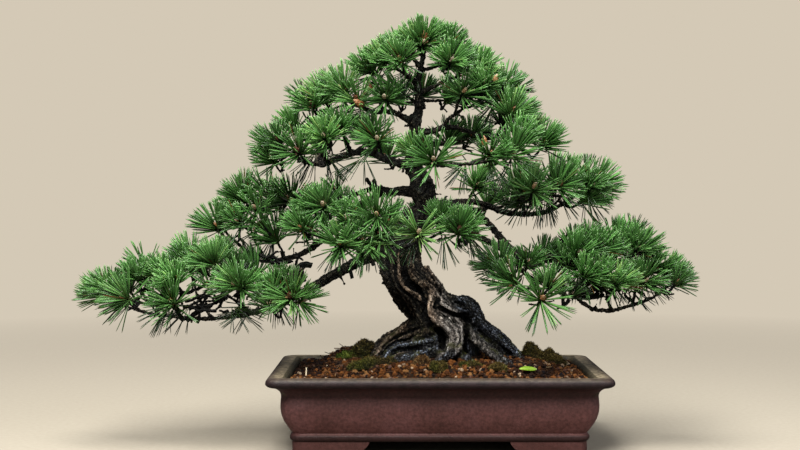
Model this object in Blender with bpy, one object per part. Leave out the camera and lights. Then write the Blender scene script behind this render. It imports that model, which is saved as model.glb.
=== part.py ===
"""Potted Japanese black pine, trained as an informal upright bonsai in an unglazed clay pot.

Every place and length below is in millimetres, measured from the middle of the pot: X runs along
the pot, -Y comes to the front, Z is up, and the feet of the pot stand on Z = 0. The last step
slides the finished pieces sideways so that the box around the whole plant is centred on X = Y = 0.
"""

import math
import random

import bmesh
import bpy
from mathutils import Vector, noise

MM = 0.001
CLEARANCE = 0.35  # gap left between two pieces that touch
SEED = 14

# Pot: a rounded rectangle, narrower front to back than side to side by the same amount all the way up
POT_LENGTH_HALF = 182.2
POT_DEPTH_LESS = 57.0
LIP_TOP = 83.0
POT_UNDERSIDE = 16.5
POT_FLOOR = 25.0
CORNER_STEPS = 4

# (half length, height, corner radius) up the outside of the pot and down the inside
POT_OUTSIDE = [
    (158.4, 16.5, 13.0),
    (160.7, 18.0, 14.0),
    (161.7, 20.8, 14.0),
    (160.7, 23.6, 14.0),
    (159.5, 25.2, 13.5),
    (161.3, 28.5, 14.0),
    (164.8, 36.0, 14.0),
    (167.3, 44.0, 14.0),
    (168.0, 51.0, 14.0),
    (167.6, 58.0, 14.0),
    (167.2, 64.0, 14.0),
    (169.5, 69.5, 14.0),
    (175.6, 73.0, 13.5),
    (180.7, 75.0, 13.0),
    (POT_LENGTH_HALF, 78.2, 12.5),
    (181.4, 81.4, 12.0),
    (178.5, LIP_TOP, 11.0),
    (164.3, 82.2, 7.0),
    (162.1, 80.4, 6.5),
]
POT_INSIDE = [
    (159.7, 64.0, 7.0),
    (160.1, 51.0, 7.0),
    (156.5, 36.0, 7.0),
    (152.3, 28.0, 7.0),
    (147.8, POT_FLOOR, 6.0),
]

# Feet: a wall under the pot, cut through by a wide arch on each side to leave four corner feet
FOOT_OUTER_HALF = 156.4
FOOT_THICKNESS = 15.0
FOOT_ARCH = [(0.0, 95.0), (6.0, 90.0), (10.0, 86.0), (13.5, 81.0), (17.0, 77.0), (22.0, 74.0)]
SIDE_ARCH_LESS = 32.0

# Drain holes and the plastic screens that keep the soil in
DRAIN_RADIUS = 12.0
DRAIN_X = 80.0
SCREEN_SIDE = 42.0
SCREEN_THICK = 1.6
SCREEN_CELLS = 7

# Soil: level with the lip at the wall, mounded around the roots
SOIL_EDGE = 77.0
SOIL_RISE = 19.5
SOIL_MIDDLE = (8.0, 4.0)
SOIL_REACH = (152.0, 104.0)
SOIL_RINGS = 7
SOIL_HALF = 160.5
SOIL_SIDES = (6, 4)

# Moss cushions: half length, half depth, middle x and y, and thickness
MOSS = {
    "moss_left": (15, 13, -81, -14, 15.0),
    "moss_front_left": (21, 12, -80, -56, 6.0),
    "moss_front_middle": (10, 8, -2, -82, 6.0),
    "moss_front_right": (11, 7, 62, -76, 4.5),
    "moss_right": (22, 17, 115, -2, 14.0),
    "moss_back": (34, 16, 16, 84, 7.0),
}

# Tree
TRUNK_SIDES = 8
BRANCH_SIDES = 5
TUFT_RADIUS = (35.0, 35.0, 24.0)
PAD_VOXEL = 5.0
PAD_TRIANGLES = 70
PAD_GAP = 0.8
WOOD_GAP = 0.45


# ---------------------------------------------------------------- shared steps


def clear_scene():
    for old in list(bpy.data.objects):
        bpy.data.objects.remove(old, do_unlink=True)


def make_material(name, colour, roughness):
    material = bpy.data.materials.new(name)
    material.use_nodes = True
    shader = material.node_tree.nodes["Principled BSDF"]
    shader.inputs["Base Color"].default_value = (*colour, 1.0)
    shader.inputs["Roughness"].default_value = roughness
    material.diffuse_color = (*colour, 1.0)
    return material


def finish_mesh(name, bm, material=None):
    """Turns an edit mesh in millimetres into an object in metres."""
    bmesh.ops.recalc_face_normals(bm, faces=bm.faces)
    bmesh.ops.scale(bm, vec=(MM, MM, MM), verts=bm.verts)
    mesh = bpy.data.meshes.new(name)
    bm.to_mesh(mesh)
    bm.free()
    obj = bpy.data.objects.new(name, mesh)
    bpy.context.scene.collection.objects.link(obj)
    if material:
        mesh.materials.append(material)
    return obj


def apply_modifiers(obj):
    """Keeps the object's shape as its modifiers leave it, and drops the modifiers."""
    graph = bpy.context.evaluated_depsgraph_get()
    shaped = bpy.data.meshes.new_from_object(obj.evaluated_get(graph))
    obj.modifiers.clear()
    old, name = obj.data, obj.data.name
    obj.data = shaped
    bpy.data.meshes.remove(old)
    shaped.name = name


def copy_of(obj, name):
    twin = bpy.data.objects.new(name, obj.data.copy())
    bpy.context.scene.collection.objects.link(twin)
    return twin


def grown(obj, by):
    """A copy of a solid swollen outwards by this many millimetres, to cut its neighbours with."""
    twin = copy_of(obj, obj.name + "_grown")
    swell = twin.modifiers.new("Swell", "DISPLACE")
    swell.mid_level = 0.0
    swell.strength = by * MM
    apply_modifiers(twin)
    return twin


def boolean(obj, other, operation, solver="EXACT"):
    """Joins or cuts with another solid, which is then removed."""
    step = obj.modifiers.new(operation.title(), "BOOLEAN")
    step.operation = operation
    step.solver = solver
    step.object = other
    other.hide_render = True
    apply_modifiers(obj)
    bpy.data.objects.remove(other, do_unlink=True)


def keep_largest(obj):
    """Drops the crumbs that a cut leaves beside the main body."""
    bm = bmesh.new()
    bm.from_mesh(obj.data)
    left = set(bm.verts)
    bodies = []
    while left:
        body, edge = set(), [left.pop()]
        while edge:
            vert = edge.pop()
            body.add(vert)
            for near in (e.other_vert(vert) for e in vert.link_edges):
                if near in left:
                    left.discard(near)
                    edge.append(near)
        bodies.append(body)
    bodies.sort(key=len)
    crumbs = [vert for body in bodies[:-1] for vert in body]
    bmesh.ops.delete(bm, geom=crumbs, context="VERTS")
    bmesh.ops.triangulate(bm, faces=bm.faces)
    bm.to_mesh(obj.data)
    bm.free()


def decimate(obj, triangles):
    bm = bmesh.new()
    bm.from_mesh(obj.data)
    bmesh.ops.triangulate(bm, faces=bm.faces)
    bm.to_mesh(obj.data)
    bm.free()
    step = obj.modifiers.new("Thin", "DECIMATE")
    step.ratio = min(1.0, triangles / len(obj.data.polygons))
    apply_modifiers(obj)


def voxel_join(obj, size):
    """Fuses the overlapping solids of one mesh into one skin."""
    step = obj.modifiers.new("Join", "REMESH")
    step.mode = "VOXEL"
    step.voxel_size = size * MM
    apply_modifiers(obj)


def loft(bm, rings):
    """Skins rings of points that all have the same number of points, and caps both ends."""
    loops = [[bm.verts.new(point) for point in ring] for ring in rings]
    count = len(loops[0])
    for lower, upper in zip(loops, loops[1:]):
        for i in range(count):
            j = (i + 1) % count
            bm.faces.new((lower[i], lower[j], upper[j], upper[i]))
    bm.faces.new(reversed(loops[0]))
    bm.faces.new(loops[-1])


# ---------------------------------------------------------------- pot


def rounded_rectangle(half_x, half_y, radius, z, side_steps=(1, 1)):
    """Points round a rectangle whose corners are arcs, with its long and short sides in steps."""
    points = []
    for corner in range(4):
        turn = corner * math.pi / 2
        side_x = 1 if corner in (0, 3) else -1
        side_y = 1 if corner in (0, 1) else -1
        for step in range(CORNER_STEPS + 1):
            angle = turn + step * math.pi / 2 / CORNER_STEPS
            x = side_x * (half_x - radius) + radius * math.cos(angle)
            y = side_y * (half_y - radius) + radius * math.sin(angle)
            points.append((x, y, z))
        steps = side_steps[corner % 2]
        if corner % 2 == 0:
            ends = (points[-1], (-points[-1][0], points[-1][1], z))
        else:
            ends = (points[-1], (points[-1][0], -points[-1][1], z))
        for step in range(1, steps):
            share = step / steps
            x = ends[0][0] * (1 - share) + ends[1][0] * share
            y = ends[0][1] * (1 - share) + ends[1][1] * share
            points.append((x, y, z))
    return points


def pot_ring(half_length, z, radius, side_steps=(1, 1)):
    half_depth = half_length - POT_DEPTH_LESS
    return rounded_rectangle(half_length, half_depth, radius, z, side_steps)


def cylinder(name, radius, x, y, low, high):
    bm = bmesh.new()
    rings = []
    for z in (low, high):
        turns = [2 * math.pi * i / 24 for i in range(24)]
        rings.append([(x + radius * math.cos(t), y + radius * math.sin(t), z) for t in turns])
    loft(bm, rings)
    return finish_mesh(name, bm)


def foot_arch(name, less, along_x):
    """A cutter that runs right through under the pot, wider at the table than at the top."""
    reach = POT_LENGTH_HALF + 20.0
    outline = [(-(half - less), z) for z, half in FOOT_ARCH]
    outline += [(half - less, z) for z, half in reversed(FOOT_ARCH)]
    outline[0] = (outline[0][0], -5.0)
    outline[-1] = (outline[-1][0], -5.0)
    bm = bmesh.new()
    if along_x:
        rings = [[(end, across, z) for across, z in outline] for end in (-reach, reach)]
    else:
        rings = [[(across, end, z) for across, z in outline] for end in (-reach, reach)]
    loft(bm, rings)
    return finish_mesh(name, bm)


def make_pot(clay):
    bm = bmesh.new()
    loft(bm, [pot_ring(*row) for row in POT_OUTSIDE + POT_INSIDE])
    pot = finish_mesh("pot", bm, clay)

    foot_top = POT_UNDERSIDE + 3.5
    bm = bmesh.new()
    loft(bm, [pot_ring(FOOT_OUTER_HALF - 0.8, 0.0, 11.0), pot_ring(FOOT_OUTER_HALF, foot_top, 12.0)])
    feet = finish_mesh("feet", bm)
    inner = FOOT_OUTER_HALF - FOOT_THICKNESS
    bm = bmesh.new()
    loft(bm, [pot_ring(inner, -5.0, 6.0), pot_ring(inner, foot_top + 5.0, 6.0)])
    boolean(feet, finish_mesh("foot_hollow", bm), "DIFFERENCE")
    boolean(feet, foot_arch("front_arch", 0.0, along_x=False), "DIFFERENCE")
    boolean(feet, foot_arch("side_arch", SIDE_ARCH_LESS, along_x=True), "DIFFERENCE")
    boolean(pot, feet, "UNION")
    for side in (-1, 1):
        hole = cylinder("drain_hole", DRAIN_RADIUS, side * DRAIN_X, 0.0, 5.0, 40.0)
        boolean(pot, hole, "DIFFERENCE")
    return pot


def make_screen(name, x, plastic):
    """A square of plastic netting laid over a drain hole."""
    bm = bmesh.new()
    bmesh.ops.create_grid(bm, x_segments=SCREEN_CELLS, y_segments=SCREEN_CELLS, size=SCREEN_SIDE / 2)
    cell = SCREEN_SIDE / SCREEN_CELLS
    gaps = []
    for face in bm.faces:
        middle = face.calc_center_median()
        column = int((middle.x + SCREEN_SIDE / 2) // cell)
        row = int((middle.y + SCREEN_SIDE / 2) // cell)
        if column % 2 and row % 2:
            gaps.append(face)
    bmesh.ops.delete(bm, geom=gaps, context="FACES_ONLY")
    flat = [face for face in bm.faces]
    raised = bmesh.ops.extrude_face_region(bm, geom=flat, use_keep_orig=True)
    top = [item for item in raised["geom"] if isinstance(item, bmesh.types.BMVert)]
    bmesh.ops.translate(bm, vec=(0, 0, SCREEN_THICK), verts=top)
    bmesh.ops.translate(bm, vec=(x, 0, POT_FLOOR + CLEARANCE), verts=bm.verts)
    return finish_mesh(name, bm, plastic)


# ---------------------------------------------------------------- soil and what lies on it


def soil_height(x, y):
    """The top of the soil: a broad mound with small rises and dips."""
    away = ((x - SOIL_MIDDLE[0]) / SOIL_REACH[0]) ** 2 + ((y - SOIL_MIDDLE[1]) / SOIL_REACH[1]) ** 2
    mound = SOIL_RISE * math.sqrt(max(0.0, 1.0 - away))
    ripple = 1.6 * noise.noise(Vector((x / 28.0, y / 28.0, 3.0)))
    return SOIL_EDGE + mound + ripple * min(1.0, mound / 6.0)


def make_soil(earth, wood_space):
    """Fills the pot from its floor to the mound, up to the wall on every side."""
    bm = bmesh.new()
    rings = []
    for half, z, radius in reversed(POT_INSIDE):
        low = max(z, POT_FLOOR + CLEARANCE)
        rings.append(pot_ring(half - CLEARANCE * 1.3, low, radius, SOIL_SIDES))
    rings.append(pot_ring(SOIL_HALF, SOIL_EDGE - 4.0, 6.5, SOIL_SIDES))
    rim = pot_ring(SOIL_HALF - 0.8, SOIL_EDGE, 6.5, SOIL_SIDES)
    for ring in range(SOIL_RINGS):
        share = 1.0 - (ring / SOIL_RINGS) ** 1.1
        rings.append([(x * share, y * share, soil_height(x * share, y * share)) for x, y, _ in rim])
    loft(bm, rings)
    soil = finish_mesh("soil", bm, earth)
    for side in (-1, 1):
        pocket = SCREEN_SIDE / 2 + CLEARANCE
        bm = bmesh.new()
        bmesh.ops.create_cube(bm, size=1.0)
        height = POT_FLOOR + SCREEN_THICK + 2 * CLEARANCE
        bmesh.ops.scale(bm, vec=(2 * pocket, 2 * pocket, height), verts=bm.verts)
        bmesh.ops.translate(bm, vec=(side * DRAIN_X, 0.0, height / 2), verts=bm.verts)
        boolean(soil, finish_mesh("screen_pocket", bm), "DIFFERENCE")
    boolean(soil, copy_of(wood_space, "wood_space"), "DIFFERENCE", "MANIFOLD")
    keep_largest(soil)
    return soil


def make_moss(name, reach_x, reach_y, x, y, thickness, green, soil, wood_space):
    """A cushion of moss that domes up from the soil and closes on the roots."""
    random.seed(name)
    turns = 10
    uneven = [random.uniform(0.84, 1.14) for _ in range(turns)]
    bm = bmesh.new()
    rings = []
    for share, lift in ((1.0, -0.7), (1.0, 0.15), (0.86, 0.6), (0.58, 0.88), (0.22, 1.0)):
        ring = []
        for i in range(turns):
            angle = 2 * math.pi * i / turns
            px = x + reach_x * uneven[i] * share * math.cos(angle)
            py = y + reach_y * uneven[i] * share * math.sin(angle)
            ring.append((px, py, soil_height(px, py) + thickness * lift))
        rings.append(ring)
    loft(bm, rings)
    moss = finish_mesh(name, bm, green)
    boolean(moss, grown(soil, CLEARANCE), "DIFFERENCE", "MANIFOLD")
    boolean(moss, copy_of(wood_space, "wood_space"), "DIFFERENCE", "MANIFOLD")
    keep_largest(moss)
    return moss


def make_leaf(green, soil):
    """A small fallen leaf lying on the soil in front of the roots."""
    x, y, length, width, turn = 95.0, -74.0, 19.0, 8.5, 0.2
    rings = []
    for step in range(9):
        along = step / 8.0
        half = max(0.5, width / 2 * math.sin(math.pi * (0.06 + 0.9 * along)) ** 0.8)
        out = (along - 0.5) * length
        ring = []
        for side, up in ((-1, 0.0), (0, -0.5), (1, 0.0), (1, 0.7), (0, 0.3), (-1, 0.7)):
            px = x + out * math.cos(turn) - side * half * math.sin(turn)
            py = y + out * math.sin(turn) + side * half * math.cos(turn)
            ring.append((px, py, up))
        rings.append(ring)
    down = Vector((0, 0, -1))
    ground = 0.0
    for px, py, _ in (point for ring in rings for point in ring):
        hit, place, _, _ = soil.ray_cast(Vector((px, py, 200.0)) * MM, down)
        ground = max(ground, place.z / MM if hit else 0.0)
    lift = ground + CLEARANCE + 0.5
    bm = bmesh.new()
    loft(bm, [[(px, py, lift + up) for px, py, up in ring] for ring in rings])
    return finish_mesh("fallen_leaf", bm, green)


# ---------------------------------------------------------------- tree

# Each limb is a line of (x, y, z, radius): the trunk first, then the roots, then the branches
TRUNK = [
    [(6, 6, 66, 30), (10, 4, 95, 38), (8, 4, 122, 35), (2, 4, 140, 32), (-12, 4, 157, 29),
     (-26, 2, 173, 27), (-37, 0, 190, 24), (-40, 0, 207, 22), (-36, 0, 226, 19), (-26, 0, 244, 16),
     (-13, 0, 259, 13), (-15, 0, 272, 14.5), (-18, 0, 286, 14.5), (-22, 0, 297, 11),
     (-29, 0, 309, 8.4), (-28, 0, 335, 7.4), (-21, 0, 369, 5.4), (-22, 0, 400, 4),
     (-16, 0, 429, 3), (-12, 0, 464, 1.7)],
    [(-56, -6, 208, 8), (-53, -12, 190, 10), (-43, -17, 175, 10.5), (-30, -20, 166, 10),
     (-19, -24, 156, 9), (-15, -28, 144, 9), (-12, -28, 128, 10), (-14, -28, 112, 9)],
    [(-28, -16, 200, 9), (-18, -20, 186, 10), (-8, -22, 176, 10), (-7, -28, 164, 8.5),
     (-10, -33, 152, 7.8), (-7, -36, 142, 7.4), (4, -38, 134, 7), (16, -39, 128, 7),
     (23, -43, 119, 7), (19, -47, 108, 6.6), (8, -51, 99, 6.4), (-3, -55, 91, 5.5),
     (-9, -58, 80, 4)],
    [(-12, -14, 192, 9), (-4, -19, 177, 8.4), (1, -23, 164, 8), (6, -27, 153, 7.2),
     (16, -29, 148, 7), (25, -28, 147, 6.6), (33, -24, 147, 5.5)],
]
ROOTS = [
    [(2, 0, 165, 12), (14, -4, 157, 12), (28, -6, 151, 11.5), (39, -8, 142, 11),
     (45, -10, 130, 10), (54, -12, 119, 9.5), (65, -14, 109, 9), (77, -16, 100, 8),
     (89, -18, 92, 7), (101, -20, 80, 4)],
    [(26, -14, 134, 10), (33, -24, 124, 8.4), (43, -34, 116, 7.6), (53, -40, 107, 7),
     (64, -46, 98, 6.4), (76, -52, 90, 5), (86, -56, 80, 3.5)],
    [(-14, -8, 134, 14), (-30, -10, 121, 11), (-45, -14, 114, 9.5), (-58, -18, 105, 8.5),
     (-69, -22, 95, 7), (-78, -25, 81, 4)],
    [(-2, -24, 122, 11), (-22, -30, 110, 9.5), (-42, -34, 103, 8), (-60, -38, 93, 6.5),
     (-72, -40, 80, 4)],
    [(2, -36, 106, 10), (-22, -43, 98, 8), (-46, -47, 92, 6.5), (-60, -50, 80, 4)],
    [(18, -40, 104, 8), (30, -46, 96, 6.5), (38, -50, 88, 5), (46, -53, 78, 3.5)],
    [(0, 20, 128, 18), (-20, 36, 112, 13), (-40, 48, 99, 9), (-56, 57, 82, 5)],
    [(18, 20, 124, 18), (40, 37, 107, 13), (62, 49, 95, 8.5), (80, 57, 80, 4)],
    [(6, 30, 118, 15), (9, 50, 102, 10), (12, 68, 82, 5)],
]
BRANCHES = [
    # low left, the longest
    [(-40, 0, 219, 9), (-56, -2, 214, 7.6), (-76, -6, 207, 7), (-103, -12, 192, 6.4),
     (-126, -18, 179, 5.6), (-148, -22, 166, 5), (-171, -25, 156, 4.4), (-196, -26, 146, 4),
     (-217, -26, 141, 3.6), (-249, -24, 137, 3), (-282, -22, 138, 2.6), (-321, -20, 143, 2.2),
     (-345, -18, 150, 2), (-366, -18, 160, 1.7)],
    [(-156, -22, 160, 3.4), (-158, -22, 178, 3), (-157, -22, 189, 2.4), (-147, -22, 193, 1.8)],
    [(-148, -22, 166, 3), (-158, -45, 160, 2.4), (-166, -68, 155, 1.8)],
    [(-171, -25, 156, 3), (-172, 0, 162, 2.4), (-165, 22, 168, 1.8)],
    [(-196, -26, 146, 3), (-188, -42, 154, 2), (-182, -48, 162, 1.7)],
    [(-206, -26, 144, 3), (-220, -48, 158, 2), (-232, -56, 168, 1.7)],
    [(-217, -26, 141, 3.2), (-222, 2, 166, 2.2), (-236, 20, 192, 1.8)],
    [(-249, -24, 137, 2.6), (-268, -2, 160, 2.2), (-280, 22, 190, 1.8)],
    [(-282, -22, 138, 2.4), (-290, -44, 152, 2), (-298, -54, 164, 1.7)],
    [(-300, -21, 140, 2.2), (-318, 0, 160, 2), (-336, 10, 180, 1.7)],
    [(-326, -20, 144, 2), (-340, -38, 156, 1.8), (-346, -48, 164, 1.6)],
    # second left, which dips behind the front pads
    [(-18, 2, 277, 9), (-42, 12, 278, 6), (-66, 24, 275, 5), (-84, 32, 263, 4.6),
     (-110, 37, 240, 4.2), (-142, 40, 213, 4), (-162, 41, 203, 3.6), (-188, 42, 198, 3),
     (-216, 44, 208, 2.5), (-238, 44, 226, 2), (-250, 40, 242, 1.7)],
    [(-50, 16, 278, 4.6), (-73, 26, 282, 3.6), (-81, 26, 293, 2.2)],
    [(-73, 26, 281, 3.6), (-103, 36, 271, 3), (-140, 50, 265, 2.6), (-176, 46, 264, 2.2),
     (-212, 42, 270, 1.7)],
    [(-126, 46, 267, 2.6), (-122, 70, 264, 2.2), (-118, 90, 268, 1.7)],
    [(-160, 48, 264, 2.4), (-184, 64, 268, 1.8)],
    [(-196, 42, 200, 2.6), (-206, 24, 220, 2), (-212, 14, 240, 1.7)],
    # front left, in front of the trunk
    [(-26, -6, 244, 7), (-36, -34, 236, 5), (-48, -62, 226, 4.4), (-64, -84, 221, 3.8),
     (-86, -92, 221, 3), (-112, -94, 224, 2.4), (-140, -88, 234, 1.8)],
    [(-42, -50, 230, 4), (-30, -76, 225, 3.2), (-8, -92, 225, 2.6), (20, -94, 231, 1.8)],
    [(-64, -84, 221, 3), (-66, -100, 226, 2.2), (-68, -106, 232, 1.8)],
    [(-100, -93, 223, 2.4), (-118, -78, 240, 2), (-128, -68, 254, 1.7)],
    # third left
    [(-27, 0, 305, 8), (-44, -4, 309, 5.2), (-61, -8, 315, 5), (-74, -10, 321, 4.6),
     (-91, -12, 321, 4.5), (-102, -13, 318, 4.2), (-113, -14, 313, 4), (-127, -16, 307, 3.8),
     (-139, -17, 308, 3.5), (-153, -18, 313, 3), (-168, -20, 321, 2.2), (-184, -22, 328, 1.7)],
    [(-70, -10, 320, 3.4), (-68, -32, 326, 2.4), (-66, -48, 332, 1.8)],
    [(-91, -12, 321, 3.2), (-84, 12, 328, 2.4), (-78, 30, 338, 1.8)],
    [(-122, -16, 310, 3), (-126, -34, 322, 2.2), (-124, -44, 332, 1.7)],
    [(-135, -17, 308, 2.8), (-130, 8, 326, 2.2), (-126, 26, 340, 1.7)],
    # fourth left
    [(-23, 1, 352, 6), (-37, 6, 360, 4), (-53, 10, 368, 3.5), (-70, 12, 366, 3.2),
     (-88, 13, 373, 2.8), (-108, 12, 383, 2.2), (-134, 11, 384, 1.7)],
    [(-60, 11, 367, 2.8), (-68, 18, 386, 2.2), (-72, 20, 404, 1.7)],
    [(-78, 12, 369, 2.6), (-86, -4, 374, 1.8)],
    [(-100, 12, 379, 2.2), (-112, 30, 382, 1.7)],
    # front upper right, in front of the trunk
    [(-28, -2, 316, 7), (-20, -28, 311, 4), (-10, -56, 306, 3.4), (8, -76, 305, 2.8),
     (38, -78, 307, 2.2), (68, -72, 313, 1.7)],
    [(-10, -56, 306, 2.6), (-24, -64, 312, 1.8)],
    [(30, -78, 306, 2.2), (60, -58, 318, 2), (86, -52, 328, 1.7)],
    # upper right
    [(-21, 2, 342, 7), (-7, 10, 345, 3.8), (7, 16, 350, 3.6), (22, 20, 350, 3.3),
     (34, 22, 346, 3), (46, 24, 341, 2.8), (62, 24, 337, 2.5), (84, 22, 348, 2.1), (102, 18, 370, 1.7)],
    [(7, 16, 350, 3), (12, 12, 359, 2.6), (26, 8, 368, 2.3), (42, 8, 386, 2), (60, 12, 402, 1.7)],
    [(20, 9, 364, 2.4), (22, -8, 376, 1.8)],
    [(76, 22, 344, 2.2), (90, 38, 358, 1.7)],
    # middle right
    [(-12, 0, 262, 10), (0, 0, 262, 6.5), (13, -2, 264, 4.6), (26, -2, 266, 4.2),
     (42, -2, 266, 4), (56, 0, 262, 3.9), (69, 2, 256, 3.8), (84, 4, 253, 3.7),
     (107, 6, 252, 3.5), (123, 6, 255, 3.2), (138, 6, 262, 2.8), (156, 4, 274, 2.2),
     (172, 2, 284, 1.7)],
    [(84, 4, 253, 3), (90, -14, 260, 2.2), (98, -28, 268, 1.7)],
    [(96, 5, 253, 3), (98, 24, 270, 2.2), (98, 34, 282, 1.7)],
    [(123, 6, 255, 2.8), (134, -14, 268, 2), (140, -26, 280, 1.7)],
    [(130, 6, 258, 2.6), (130, 24, 278, 2), (132, 30, 292, 1.7)],
    # low right, which falls away from the trunk and then turns up
    [(-14, -2, 259, 9), (4, -6, 263, 5.4), (24, -12, 262, 4.4), (40, -18, 256, 4.2),
     (53, -24, 245, 4.2), (65, -30, 231, 4.2), (75, -34, 219, 4.2), (84, -38, 211, 4.8),
     (96, -40, 208, 4), (118, -40, 206, 3), (144, -38, 206, 2.7), (164, -36, 213, 2.1),
     (178, -38, 220, 1.7)],
    [(-22, -6, 246, 8), (0, -14, 243, 4.6), (22, -18, 238, 4), (43, -24, 229, 4),
     (60, -30, 220, 4), (78, -36, 211, 4)],
    [(86, -40, 208, 4), (88, -44, 193, 3.4), (104, -48, 181, 3.1), (126, -50, 177, 3),
     (144, -50, 170, 2.9), (154, -48, 158, 2.8), (167, -46, 149, 2.8), (188, -42, 147, 2.7),
     (211, -40, 153, 2.4), (234, -36, 161, 2.1), (250, -34, 170, 1.7)],
    [(78, -36, 212, 3.4), (70, -40, 204, 2.2), (66, -42, 198, 1.8)],
    [(104, -48, 181, 2.8), (108, -66, 172, 2.2), (109, -78, 163, 1.8)],
    [(144, -38, 206, 2.6), (152, -10, 216, 2.2), (160, 4, 226, 1.7)],
    [(156, -36, 210, 2.4), (184, -28, 218, 2.2), (206, -18, 228, 1.8)],
    [(188, -42, 147, 2.4), (182, -52, 164, 2), (178, -56, 178, 1.7)],
    [(211, -40, 153, 2.2), (222, -12, 176, 2), (230, 10, 194, 1.7)],
    # back: one low, one to the right, one in the middle and one high
    [(-18, 4, 256, 9), (-15, 44, 246, 4.6), (-14, 80, 237, 3.6), (-6, 108, 235, 2.6), (14, 126, 240, 1.8)],
    [(-14, 80, 237, 3), (-36, 112, 234, 2.2), (-50, 126, 238, 1.7)],
    [(-12, 4, 260, 8), (16, 38, 259, 4.2), (44, 68, 257, 3), (72, 86, 259, 2.2), (90, 86, 264, 1.7)],
    [(-28, 3, 312, 7), (-32, 30, 308, 4.4), (-36, 58, 307, 3.4), (-32, 80, 313, 2.2), (-20, 92, 320, 1.7)],
    [(-36, 58, 307, 2.8), (-58, 72, 316, 1.8)],
    [(-25, 3, 334, 6), (-8, 28, 332, 3.6), (16, 52, 333, 2.6), (42, 64, 340, 1.8)],
    [(-20, 2, 375, 5), (-18, 24, 379, 3), (-16, 44, 387, 2)],
    [(-18, 30, 381, 2.4), (12, 48, 382, 1.7)],
    [(-18, 26, 380, 2.4), (-46, 40, 378, 1.7)],
    # crown
    [(-22, 0, 397, 4), (-38, -5, 409, 2.3), (-56, -4, 420, 1.7)],
    [(-19, 0, 416, 3.4), (-30, 10, 430, 2), (-42, 22, 438, 1.6)],
    [(-20, 0, 412, 3.4), (0, 4, 418, 2.2), (22, 4, 426, 1.7)],
    [(-20, 0, 388, 4), (-2, 8, 396, 2.6), (12, 14, 404, 2.2), (34, 20, 410, 1.7)],
]

# Each pad is the foliage of one branchlet: the places of its tufts of needles
FOLIAGE = {
    "foliage_low_left_tip": [(-372, -18, 170), (-346, -48, 172), (-340, 12, 192)],
    "foliage_low_left_outer": [(-298, -54, 172), (-300, -8, 186), (-282, 26, 206), (-262, -6, 196)],
    "foliage_low_left_middle": [(-236, -56, 178), (-226, -10, 190), (-240, 22, 208), (-208, 10, 186)],
    "foliage_low_left_inner": [(-180, -48, 170), (-166, -72, 160), (-166, 24, 172), (-176, -6, 176)],
    "foliage_second_left_tip": [(-252, 42, 250), (-214, 12, 246), (-236, 66, 258)],
    "foliage_second_left_middle": [(-216, 40, 282), (-186, 66, 276), (-176, 34, 282)],
    "foliage_second_left_inner": [(-136, 52, 274), (-118, 92, 272), (-108, 60, 280)],
    "foliage_front_left": [(-144, -90, 240), (-130, -64, 264), (-106, -104, 232)],
    "foliage_front_middle": [(-94, -88, 250), (-70, -108, 240), (-62, -80, 252)],
    "foliage_front_right": [(-20, -98, 236), (20, -96, 238), (0, -74, 248)],
    "foliage_third_left_tip": [(-186, -22, 334), (-160, -46, 332), (-158, 12, 346)],
    "foliage_third_left_middle": [(-124, -46, 340), (-108, -20, 350), (-126, 28, 350)],
    "foliage_third_left_inner": [(-66, -50, 338), (-76, -14, 344), (-78, 32, 346)],
    "foliage_fourth_left_outer": [(-140, 10, 388), (-112, -4, 398), (-114, 34, 392)],
    "foliage_fourth_left_inner": [(-88, -8, 384), (-74, 22, 412), (-58, -16, 392)],
    "foliage_crown_left": [(-60, -4, 426), (-44, 24, 440), (-42, -26, 424)],
    "foliage_crown_top": [(-12, 0, 452), (-24, -8, 444)],
    "foliage_crown_right": [(22, 4, 430), (34, 22, 420), (10, -24, 424)],
    "foliage_upper_right_top": [(56, 14, 412), (70, -6, 402), (76, 34, 400)],
    "foliage_upper_right_tip": [(104, 16, 384), (96, -14, 374), (94, 42, 372)],
    "foliage_upper_right_inner": [(26, -12, 386), (42, 10, 384)],
    "foliage_front_upper_left": [(-4, -80, 318), (-24, -64, 322)],
    "foliage_front_upper_right": [(52, -80, 320), (76, -70, 324), (88, -48, 336)],
    "foliage_middle_right_inner": [(94, -12, 282), (102, -36, 282), (96, 34, 292)],
    "foliage_middle_right_outer": [(140, -28, 290), (134, 32, 302), (150, 2, 300)],
    "foliage_middle_right_tip": [(178, 2, 292), (172, -22, 288)],
    "foliage_low_right_inner": [(66, -42, 204), (80, -62, 196)],
    "foliage_low_right_hanging": [(109, -80, 166), (126, -62, 172)],
    "foliage_low_right_middle": [(150, -48, 218), (178, -42, 224), (160, 2, 234)],
    "foliage_low_right_outer": [(208, -14, 234), (218, -44, 224), (204, 20, 228)],
    "foliage_low_right_lower": [(176, -60, 188), (204, -62, 180)],
    "foliage_low_right_tip": [(244, -26, 192), (232, 14, 204), (250, -44, 180)],
    "foliage_back_low": [(14, 126, 246), (-48, 128, 242), (-14, 96, 246)],
    "foliage_back_right": [(88, 86, 268), (62, 84, 268)],
    "foliage_back_middle": [(-20, 92, 324), (-58, 74, 322)],
    "foliage_back_upper": [(42, 66, 344), (16, 70, 340)],
    "foliage_back_high": [(-16, 46, 392), (14, 50, 386), (-46, 42, 384)],
}


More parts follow.
